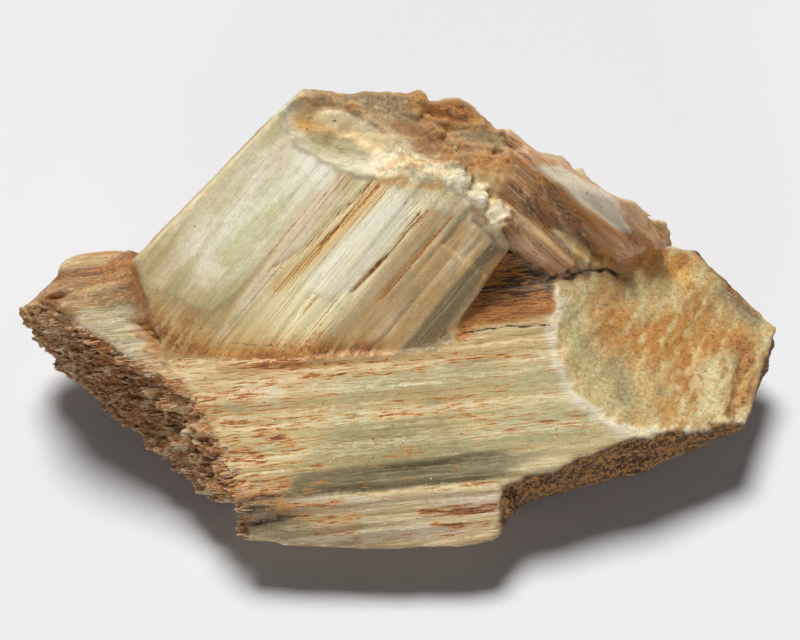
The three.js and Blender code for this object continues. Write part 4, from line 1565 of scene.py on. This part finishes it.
class Wiring:
    """Adds the nodes of a material and joins them."""

    def __init__(self, material: bpy.types.Material) -> None:
        """Start from an empty node tree.

        Args:
            material: The material that is wired.
        """
        material.use_nodes = True
        self.tree = material.node_tree
        self.tree.nodes.clear()

    def node(self, kind: str, *inputs, **settings) -> bpy.types.Node:
        """Add a node.

        Args:
            kind: The node's type.
            *inputs: Sockets or values for its inputs, in order; None leaves one as it is.
            **settings: Its own settings.

        Returns:
            The node.
        """
        made = self.tree.nodes.new(kind)
        for name, value in settings.items():
            setattr(made, name, value)
        for socket, value in zip(made.inputs, inputs):
            self.feed(socket, value)
        return made

    def feed(self, socket: Socket, value) -> None:
        """Link a socket to another socket, or set its value.

        Args:
            socket: The socket.
            value: The other socket or the value; None leaves it as it is.
        """
        if isinstance(value, Socket):
            self.tree.links.new(value, socket)
        elif value is not None:
            socket.default_value = value

    def attribute(self, name: str) -> Socket:
        """A number that the mesh stores under a name."""
        return self.node("ShaderNodeAttribute", attribute_name=name).outputs["Fac"]

    def stored(self, name: str) -> Socket:
        """A vector or colour that the mesh stores under a name."""
        return self.node("ShaderNodeAttribute", attribute_name=name).outputs["Vector"]

    def math(self, operation: str, *values, clamp: bool = False) -> Socket:
        """The result of a math node."""
        return self.node("ShaderNodeMath", *values, operation=operation, use_clamp=clamp).outputs[0]

    def range(self, value, low: float, high: float, start=0.0, end=1.0) -> Socket:
        """A value ranged smoothly from low..high to start..end."""
        limits = low, high, start, end
        return self.node("ShaderNodeMapRange", value, *limits, interpolation_type="SMOOTHSTEP").outputs[0]

    def mix(self, share, first, second, blend: str = "MIX") -> Socket:
        """Two colours mixed.

        Args:
            share: How much of the second there is.
            first: The first, as a socket or a colour.
            second: The second.
            blend: How they are mixed.

        Returns:
            The mixed colour.
        """
        made = self.node("ShaderNodeMix", data_type="RGBA", blend_type=blend)
        self.feed(made.inputs["Factor"], share)
        colours = [socket for socket in made.inputs if socket.type == "RGBA"]
        for socket, colour in zip(colours, (first, second)):
            self.feed(socket, (*colour, 1.0) if isinstance(colour, tuple) else colour)
        return next(socket for socket in made.outputs if socket.type == "RGBA")

    def blend(self, share, first, second) -> Socket:
        """Two numbers mixed."""
        return self.node("ShaderNodeMix", share, None, first, second, data_type="FLOAT").outputs[0]

    def swung(self, source: Socket, strength, base) -> Socket:
        """A value that a noise swings up and down by a strength."""
        return self.math("MULTIPLY_ADD", self.math("SUBTRACT", source, 0.5), strength, base)

    def noise(self, vector: Socket, scale: Point, detail: float = 4, rough: float = 0.6) -> Socket:
        """Noise from about 0 to 1.

        Args:
            vector: Where it is taken.
            scale: How far it is stretched on each axis.
            detail: How many layers it has.
            rough: How strong the finer ones are.

        Returns:
            The noise.
        """
        stretched = self.node("ShaderNodeVectorMath", vector, scale, operation="MULTIPLY").outputs[0]
        made = self.node("ShaderNodeTexNoise", stretched)
        made.inputs["Scale"].default_value = 1.0
        made.inputs["Detail"].default_value = detail
        made.inputs["Roughness"].default_value = rough
        return made.outputs["Fac"]


@dataclass(frozen=True)
class StoneFinish:
    """Diaspore: pale translucent stone with rust in its grain.

    Each triple is the scale of a noise along and across the grain: of the rust in dashes, lines
    and grains, of short fibres and long threads, of white silk, of the finest sugar and of the
    frost in clear stone. The relief is the depth of the finest grooves, in millimetres.
    """

    name: str = "diaspore"
    dashes: Point = (0.6, 6.5, 6.5)
    lines: Point = (0.05, 7.5, 7.5)
    grains: Point = (2.6, 3.0, 3.0)
    fibres: Point = (0.35, 8.0, 8.0)
    threads: Point = (0.07, 7.5, 7.5)
    silk: Point = (0.14, 4.7, 4.7)
    sugar: Point = (5.5, 6.5, 6.5)
    frost: Point = (1.5, 2.2, 2.2)
    relief: float = 0.12

    def material(self) -> bpy.types.Material:
        """The finished material."""
        made = bpy.data.materials.new(self.name)
        StoneWiring(made, self).join()
        return made


class StoneWiring(Wiring):
    """The nodes of the stone finish."""

    def __init__(self, material: bpy.types.Material, sizes: StoneFinish) -> None:
        """Read what the mesh stores, and make the noises of the stone.

        Args:
            material: The material that is wired.
            sizes: Its noise scales and its relief.
        """
        super().__init__(material)
        self.relief = sizes.relief
        self.grain = self.stored("grain")
        self.body = self.stored("body")
        self.rust, self.dark, self.coarse, long, self.dull, self.ice = (
            self.attribute(amount.value) for amount in Amount
        )
        self.silk = self.noise(self.grain, sizes.silk, 5, 0.65)
        self.sugar = self.noise(self.grain, sizes.sugar, 3, 0.7)
        fibres = self.noise(self.grain, sizes.fibres, 4, 0.7)
        self.fibres = self.blend(long, fibres, self.noise(self.grain, sizes.threads, 4, 0.7))
        grains = self.noise(self.grain, sizes.grains, 6, 0.75)
        frost = self.noise(self.grain, sizes.frost, 5, 0.7)
        veins = self.blend(long, self.noise(self.grain, sizes.dashes), self.noise(self.grain, sizes.lines))
        self.veins = self.swung(self.sugar, 0.3, self.blend(self.coarse, veins, grains))
        self.soft = self.blend(self.coarse, self.blend(self.ice, self.fibres, frost), grains)

    def join(self) -> None:
        """Mix the colour, the gloss and the relief, and join them to the output."""
        self.streak()
        self.shade()
        self.run_rust()
        self.sparkle()
        shader = self.node("ShaderNodeBsdfPrincipled")
        self.feed(shader.inputs["Base Color"], self.body)
        gloss = self.range(self.dull, 0.0, 1.0, 0.36, 0.75)
        gloss = self.math("ADD", gloss, self.range(self.sugar, 0.3, 0.7, -0.12, 0.12))
        self.feed(shader.inputs["Roughness"], gloss)
        self.feed(shader.inputs["Normal"], self.bumped())
        shader.inputs["Subsurface Weight"].default_value = 0.15
        shader.inputs["Subsurface Radius"].default_value = (1.0, 0.75, 0.45)
        shader.inputs["Subsurface Scale"].default_value = 0.35 * METRE
        output = self.node("ShaderNodeOutputMaterial")
        self.feed(output.inputs["Surface"], shader.outputs[0])

    def streak(self) -> None:
        """Whiter streaks along the grain, fewer where the stone is grainy, rusty or clear."""
        share = self.range(self.silk, 0.5, 0.64, 0.0, 0.5)
        for amount, least in ((self.coarse, 0.0), (self.rust, 0.15), (self.ice, 0.35)):
            share = self.math("MULTIPLY", share, self.range(amount, 0.0, 0.9, 1.0, least))
        self.body = self.mix(share, self.body, PALETTE.cream)

    def shade(self) -> None:
        """Lighter and darker fibres, frost or grains."""
        shade = self.swung(self.soft, self.range(self.coarse, 0.0, 1.0, 1.0, 2.0), 1.0)
        shade = self.swung(self.sugar, self.range(self.coarse, 0.0, 1.0, 0.5, 1.2), shade)
        grey = self.node("ShaderNodeCombineColor", shade, shade, shade).outputs[0]
        self.body = self.mix(1.0, self.body, grey, "MULTIPLY")

    def run_rust(self) -> None:
        """Rust in the veins, golden at their borders and dark at their cores, and black soot."""
        level = self.math("SUBTRACT", self.math("MULTIPLY_ADD", self.rust, 0.3, self.veins), 0.7)
        for low, high, share, colour in (
            (-0.1, -0.01, 0.5, PALETTE.gold),
            (-0.015, 0.02, 0.78, PALETTE.orange),
            (0.03, 0.08, 0.85, PALETTE.rust),
            (0.11, 0.17, 0.7, PALETTE.umber),
        ):
            self.body = self.mix(self.range(level, low, high, 0.0, share), self.body, colour)
        soot = self.range(self.swung(self.veins, 1.2, self.dark), 0.3, 0.6, 0.0, 0.9)
        self.body = self.mix(soot, self.body, PALETTE.black)

    def sparkle(self) -> None:
        """Tiny bright specks, where crystal faces catch the light, and dark ones."""
        for scale, least, widest, share, colour in (
            (2.4, 0.8, 0.15, 0.6, PALETTE.white),
            (1.7, 0.86, 0.12, 0.75, PALETTE.umber),
        ):
            cells = self.node("ShaderNodeTexVoronoi", feature="F1")
            self.feed(cells.inputs["Vector"], self.grain)
            cells.inputs["Scale"].default_value = scale
            picked = self.node("ShaderNodeSeparateColor", cells.outputs["Color"]).outputs[0]
            size = self.range(picked, least, 1.0, 0.0, widest)
            speck = self.math("LESS_THAN", cells.outputs["Distance"], size)
            self.body = self.mix(self.math("MULTIPLY", speck, share), self.body, colour)

    def bumped(self) -> Socket:
        """The finest relief: grooves where the veins run, and the grain between them.

        Returns:
            The bumped normal.
        """
        cut = self.range(self.veins, 0.52, 0.68, 0.0, -0.5)
        height = self.math("MULTIPLY_ADD", self.blend(self.ice, self.fibres, 0.5), 0.8, cut)
        height = self.math("MULTIPLY_ADD", self.soft, self.range(self.coarse, 0, 1, 0.3, 2.2), height)
        height = self.math("MULTIPLY_ADD", self.sugar, 0.5, height)
        bump = self.node("ShaderNodeBump")
        self.feed(bump.inputs["Height"], height)
        bump.inputs["Strength"].default_value = 0.7
        bump.inputs["Distance"].default_value = self.relief * METRE
        return bump.outputs[0]


# ---- torn fibres


@dataclass
class TornFibres:
    """Slivers of stone that lie along the grain at the torn left end.

    Length and thickness are the least and the most, in millimetres; scatter is how far they lean
    away from the crystal's grain.
    """

    count: int = 12500
    length: Point = (0.25, 0.9)
    thickness: Point = (0.05, 0.16)
    scatter: float = 0.18
    seed: int = 5
    axes: Axes = BASE_AXES

    def build(self, skin: Skin, frayed: Array) -> bpy.types.Object:
        """Make all the slivers as one mesh.

        Args:
            skin: The stone they lie on.
            frayed: How frayed each vertex of the stone is.

        Returns:
            The object, in millimetres.
        """
        roll = np.random.default_rng(self.seed)
        level = skin.shares[Face.BROAD] + skin.shares[Face.ARM] + skin.shares[Face.LEDGE]
        torn = skin.shares[Face.TORN] * (skin.points[:, 2] > 1.4)
        standing = skin.standing(14)
        likely = torn + 0.7 * np.clip(level, 0, 1) * ramp(frayed, 0.25, 0.9)
        place = self.axes.local(skin.points)[:, :2]
        likely *= ramp(distance_to_line(place, ARM_CREASE), 1.0, 2.4)
        likely *= 1 - ramp(place[:, 1] - torn, 16.2, 17.6)
        roots = roll.choice(len(likely), self.count, replace=False, p=likely / likely.sum())
        points: list[Array] = []
        faces: list[tuple[int, ...]] = []
        body: list[Array] = []
        rust: list[float] = []
        local = self.axes.local(skin.points[roots])
        clumps = 0.9 * noise(88, local, (0.5, 1.3, 1.3), 3, 0.6)
        clumps += 0.4 * ramp(local[:, 2], -2.6, -0.4) + 0.25 * ramp(local[:, 1], 14, 17)
        for root, clump in zip(roots, clumps):
            start = len(points)
            on_top = level[root] > torn[root]
            points.extend(self.sliver(skin.points[root], skin.normals[root], on_top, roll))
            faces.extend(tuple(start + corner for corner in face) for face in self.sides())
            colour, tip = self.colours(on_top, standing[root], clump, roll)
            for share in (0.0, 0.6, 1.0):
                body.extend([colour + share * (tip - colour)] * 3)
            rust.extend([roll.uniform(0.0, 0.45)] * 9)
        mesh = bpy.data.meshes.new("torn_fibres")
        mesh.from_pydata([tuple(point) for point in points], [], faces)
        fibres = bpy.data.objects.new("torn_fibres", mesh)
        bpy.context.scene.collection.objects.link(fibres)
        amounts = {Amount.RUST: np.array(rust), Amount.DULL: np.ones(len(rust))}
        store(mesh, np.array(body), self.axes.local(np.array(points)), amounts)
        return fibres

    def sliver(self, root: Array, normal: Array, on_top: bool, roll: np.random.Generator) -> list[Array]:
        """The corners of one sliver: three rings of three.

        Args:
            root: The place on the stone that it belongs to.
            normal: The stone's outward direction there.
            on_top: Whether it lies on the broad face, or sticks out of the torn end.
            roll: The random numbers.

        Returns:
            Its corners.
        """
        run, across, out = self.axes.basis
        way = -run + self.scatter * roll.normal(size=3)
        way /= np.linalg.norm(way)
        reach = roll.uniform(*self.length) * (1.7 if on_top else 1.0)
        thick = roll.uniform(*self.thickness) * (0.32 if on_top else 0.55)
        flat = roll.uniform(0.4, 0.8)
        turn = roll.uniform(0, math.tau)
        middle = root + 0.2 * thick * normal
        if not on_top:
            middle = root - way * reach * roll.uniform(0.28, 0.5)
        corners: list[Array] = []
        for share, width in ((-0.5, 0.9), (0.2, 1.0), (0.5, 0.5)):
            ring = middle + way * reach * (share + 0.05 * roll.normal())
            for step in range(3):
                angle = turn + math.tau * (step + 0.15 * roll.normal()) / 3
                wide = thick * width * roll.uniform(0.85, 1.15)
                corners.append(ring + wide * (math.cos(angle) * across + flat * math.sin(angle) * out))
        return corners

    @staticmethod
    def sides() -> list[tuple[int, ...]]:
        """The faces of one sliver, by the numbers of its corners."""
        faces: list[tuple[int, ...]] = [(0, 1, 2), (8, 7, 6)]
        for ring in (0, 3):
            for step in range(3):
                after = (step + 1) % 3
                faces.append((ring + after, ring + step, ring + 3 + step, ring + 3 + after))
        return faces

    @staticmethod
    def colours(on_top: bool, proud: float, clump: float, roll: np.random.Generator) -> tuple[Array, Array]:
        """The colours of a sliver at its root and at its tip.

        Args:
            on_top: Whether it lies on the broad face.
            proud: How far the stone stands out where it lies, in millimetres.
            clump: A soft number of about -1 to 1 that its neighbours share.
            roll: The random numbers.

        Returns:
            The two colours.
        """
        stops = (0.0, 0.2, 0.45, 0.65, 0.9, 1.2)
        shades = np.array(
            (PALETTE.umber, PALETTE.brown, PALETTE.rust, PALETTE.orange, PALETTE.tan, PALETTE.rose)
        )
        level = 0.56 + 0.1 * on_top + 2.0 * proud + clump + 0.17 * roll.normal()
        ends = (level, level + max(0.0, roll.uniform(-0.5, 0.5)))
        colour, tip = (np.array([np.interp(end, stops, shade) for shade in shades.T]) for end in ends)
        return 0.9 * colour, 0.9 * tip


# ---- the specimen


@dataclass
class Specimen:
    """The whole stone: the model's shape, remeshed, carved and stained."""

    rough_voxel: float = 0.22
    fine_voxel: float = 0.13
    quick_voxel: float = 0.2
    most_triangles: int = 190_000
    hidden_weight: float = 1.0
    shown_weight: float = 0.35
    base: BaseCrystal = field(default_factory=BaseCrystal)
    upper: UpperCrystal = field(default_factory=UpperCrystal)
    rear: RearMass = field(default_factory=RearMass)
    fibres: TornFibres = field(default_factory=TornFibres)
    finish: StoneFinish = field(default_factory=StoneFinish)

    def build(self) -> list[bpy.types.Object]:
        """Make the stone and its torn fibres, and put the stone in place of the model's node.

        Returns:
            The finished pieces.
        """
        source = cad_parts[NODE].data
        faces = FaceMap(source)
        mesh = source.copy()
        mesh.materials.clear()
        mesh.vertices.foreach_set("co", (read(mesh.vertices, "co", 3) / METRE).ravel())
        for lump in self.rear.lumps:
            lump.add_to(mesh)
        stone = bpy.data.objects.new("crystal_group", mesh)
        bpy.context.scene.collection.objects.link(stone)
        crystals = (self.base, self.upper, self.rear)
        self.remesh(stone, self.rough_voxel)
        skin = Skin(stone.data, faces)
        for crystal in crystals:
            crystal.skin = skin
            crystal.break_up()
        skin.settle()
        self.remesh(stone, self.fine_voxel)
        skin = Skin(stone.data, faces)
        for crystal in crystals:
            crystal.skin = skin
            crystal.refine()
        self.chip(skin)
        skin.settle()
        hidden = np.clip(skin.shares[Face.BACK] + skin.shares[Face.UNDERSIDE], 0, 1)
        skin.fray_borders()
        skin.prime()
        for crystal in crystals:
            crystal.stain()
        self.upper.stain_bowl()
        self.upper.stain_crown()
        self.base.darken_cracks()
        self.weather_and_highlight(skin)
        store(skin.mesh, skin.body, skin.grain, skin.amounts)
        splinters = self.fibres.build(skin, self.base.frayed(BASE_AXES.local(skin.points)))
        self.thin(stone, hidden)
        material = self.finish.material()
        stone.data.shade_smooth()
        for piece in (stone, splinters):
            self.to_metres(piece)
            piece.data.materials.append(material)
            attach(piece, BODY)
        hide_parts(NODE)
        return [stone, splinters]

    @staticmethod
    def chip(skin: Skin) -> None:
        """Break small chips off the sharp ridges.

        Args:
            skin: The carved skin.
        """
        ridge = ramp(skin.standing(12), 0.05, 0.2)
        loss = ramp(noise(81, skin.points, 1.8, 3, 0.65), 0.0, 0.3)
        sound = 1 - 0.8 * np.clip(skin.shares[Face.TOP] + skin.shares[Face.UPPER], 0, 1)
        skin.offsets -= (0.13 * ridge * loss * sound)[:, None] * skin.normals

    @staticmethod
    def weather_and_highlight(skin: Skin) -> None:
        """Let dirt settle in every hollow, and leave the ridges pale: worn edges with a painted highlight
        of light through their thin stone.

        Args:
            skin: The carved skin.
        """
        whole = Part(skin, *FACES)
        near = skin.standing(4)
        wide = skin.standing(24)
        clean = 1 - np.clip(skin.amounts[Amount.DULL] + skin.amounts[Amount.RUST], 0, 1)
        upper = np.clip(skin.shares[Face.TOP] + skin.shares[Face.UPPER] + 0.7 * skin.shares[Face.END], 0, 1)
        wide = wide + 0.25 * upper
        # pale ridges: wear and a painted highlight of light through the thin edges
        whole.lay(
            white=(0.45 - 0.3 * upper) * ramp(near, 0.02, 0.07) * clean,
            rust=0.6 * ramp(wide, -0.15, -0.5),
        )
        whole.add(rust=0.3 * ramp(near, -0.015, -0.06) + 0.3 * ramp(wide, -0.1, -0.45))
        whole.add(rust=-0.2 * ramp(near, 0.01, 0.05))

    @staticmethod
    def apply(stone: bpy.types.Object) -> None:
        """Keep what the object's modifiers make as its mesh.

        Args:
            stone: The object.
        """
        bpy.context.view_layer.update()
        shaped = stone.evaluated_get(bpy.context.evaluated_depsgraph_get())
        mesh = bpy.data.meshes.new_from_object(shaped)
        stone.modifiers.clear()
        stone.data = mesh

    def remesh(self, stone: bpy.types.Object, voxel: float) -> None:
        """Give the stone an even mesh of small quads.

        Args:
            stone: The object.
            voxel: The size of the quads.
        """
        modifier = stone.modifiers.new("even", "REMESH")
        modifier.mode = "VOXEL"
        modifier.voxel_size = voxel
        self.apply(stone)

    def thin(self, stone: bpy.types.Object, hidden: Array) -> None:
        """Merge triangles where the stone is flat or hidden, until few enough are left.

        Args:
            stone: The fine stone.
            hidden: How hidden each vertex is, from 0 to 1.
        """
        group = stone.vertex_groups.new(name="thinned")
        for level in range(5):
            low, high = level / 5, (level + 1) / 5 + (level == 4)
            here = np.flatnonzero((hidden >= low) & (hidden < high)).tolist()
            weight = self.shown_weight + (self.hidden_weight - self.shown_weight) * level / 4
            group.add(here, weight, "REPLACE")
        faces = 2 * len(stone.data.polygons)
        modifier = stone.modifiers.new("thin", "DECIMATE")
        modifier.ratio = min(1.0, self.most_triangles / faces)
        modifier.use_collapse_triangulate = True
        modifier.vertex_group = group.name
        modifier.vertex_group_factor = 1.0
        self.apply(stone)

    @staticmethod
    def to_metres(piece: bpy.types.Object) -> None:
        """Scale a finished mesh to metres.

        Args:
            piece: The object whose mesh it is.
        """
        points = read(piece.data.vertices, "co", 3) * METRE
        piece.data.vertices.foreach_set("co", points.ravel())
        piece.data.update()


# ---- the studio


@dataclass(frozen=True)
class Lamp:
    """A soft light that is far away.

    Source is where it shines from, and angle how wide it looks from the specimen, in degrees.
    """

    name: str
    source: Point
    angle: float
    strength: float

    def add(self) -> None:
        """Add it to the scene."""
        lamp = bpy.data.lights.new(self.name, "SUN")
        lamp.energy = self.strength
        lamp.angle = math.radians(self.angle)
        lamp.color = (1.0, 0.985, 0.96)
        holder = bpy.data.objects.new(self.name, lamp)
        holder.rotation_euler = Vector(self.source).to_track_quat("Z", "Y").to_euler()
        bpy.context.scene.collection.objects.link(holder)


@dataclass
class Studio:
    """A plain pale floor, two soft lights and the camera."""

    target: Point = (0, 0, 11.6)
    distance: float = 177
    elevation: float = 50
    lens: float = 100
    lamps: tuple[Lamp, ...] = (
        Lamp("soft_light", (-0.12, 0.375, 0.93), 22, 4.1),
        Lamp("front_light", (-0.22, -0.9, 0.14), 30, 1.3),
    )
    ambient: Point = (0.85, 0.82, 0.84)
    ambient_strength: float = 0.07
    floor_flat: float = 600
    floor_reach: float = 2200
    floor_rise: float = 300

    def build(self) -> None:
        """Make the floor, the light, the surroundings and the camera."""
        self.floor()
        self.light()
        self.surroundings()
        self.camera()

    def floor(self) -> None:
        """A round floor that sweeps up at its far edge."""
        turns = 96
        sweep = 14
        rings = [(80.0, 0.0), (200.0, 0.0), (self.floor_flat, 0.0)]
        for step in range(1, sweep + 1):
            share = step / sweep
            reach = self.floor_flat + share * (self.floor_reach - self.floor_flat)
            rings.append((reach, self.floor_rise * share**2))
        points = [(0.0, 0.0, 0.0)]
        for reach, rise in rings:
            for turn in range(turns):
                angle = math.tau * turn / turns
                points.append((reach * math.cos(angle), reach * math.sin(angle), rise))
        faces = [(0, 1 + turn, 1 + (turn + 1) % turns) for turn in range(turns)]
        for ring in range(len(rings) - 1):
            inner = 1 + ring * turns
            outer = inner + turns
            for turn in range(turns):
                after = (turn + 1) % turns
                faces.append((inner + turn, outer + turn, outer + after, inner + after))
        mesh = bpy.data.meshes.new("floor")
        mesh.from_pydata([tuple(METRE * c for c in point) for point in points], [], faces)
        mesh.shade_smooth()
        floor = bpy.data.objects.new("floor", mesh)
        bpy.context.scene.collection.objects.link(floor)
        material = bpy.data.materials.new("pale_floor")
        wires = Wiring(material)
        shader = wires.node("ShaderNodeBsdfPrincipled")
        shader.inputs["Base Color"].default_value = (*tint(209, 210, 214), 1.0)
        shader.inputs["Roughness"].default_value = 0.9
        shader.inputs["Specular IOR Level"].default_value = 0.1
        output = wires.node("ShaderNodeOutputMaterial")
        wires.feed(output.inputs["Surface"], shader.outputs[0])
        mesh.materials.append(material)

    def light(self) -> None:
        """A soft light from above and behind, and a weak one from the front."""
        for lamp in self.lamps:
            lamp.add()

    def surroundings(self) -> None:
        """A dim even light from all round."""
        world = bpy.data.worlds.new("studio")
        world.use_nodes = True
        background = world.node_tree.nodes["Background"]
        background.inputs["Color"].default_value = (*self.ambient, 1.0)
        background.inputs["Strength"].default_value = self.ambient_strength
        scene = bpy.context.scene
        scene.world = world
        scene.view_settings.view_transform = "Standard"

    def camera(self) -> None:
        """The camera, looking down on the specimen from the front."""
        lens = bpy.data.cameras.new("camera")
        lens.lens = self.lens
        lens.clip_start = 0.005
        holder = bpy.data.objects.new("camera", lens)
        angle = math.radians(self.elevation)
        back = Vector((0, -math.cos(angle), math.sin(angle)))
        holder.location = METRE * (Vector(self.target) + self.distance * back)
        holder.rotation_euler = back.to_track_quat("Z", "Y").to_euler()
        bpy.context.scene.collection.objects.link(holder)
        bpy.context.scene.camera = holder


def main() -> None:
    """Build the studio and the specimen."""
    logging.basicConfig(level=logging.INFO, format="%(message)s")
    Studio().build()
    for piece in Specimen().build():
        log.info("%s: %d faces", piece.name, len(piece.data.polygons))


if __name__ == "__main__":
    main()
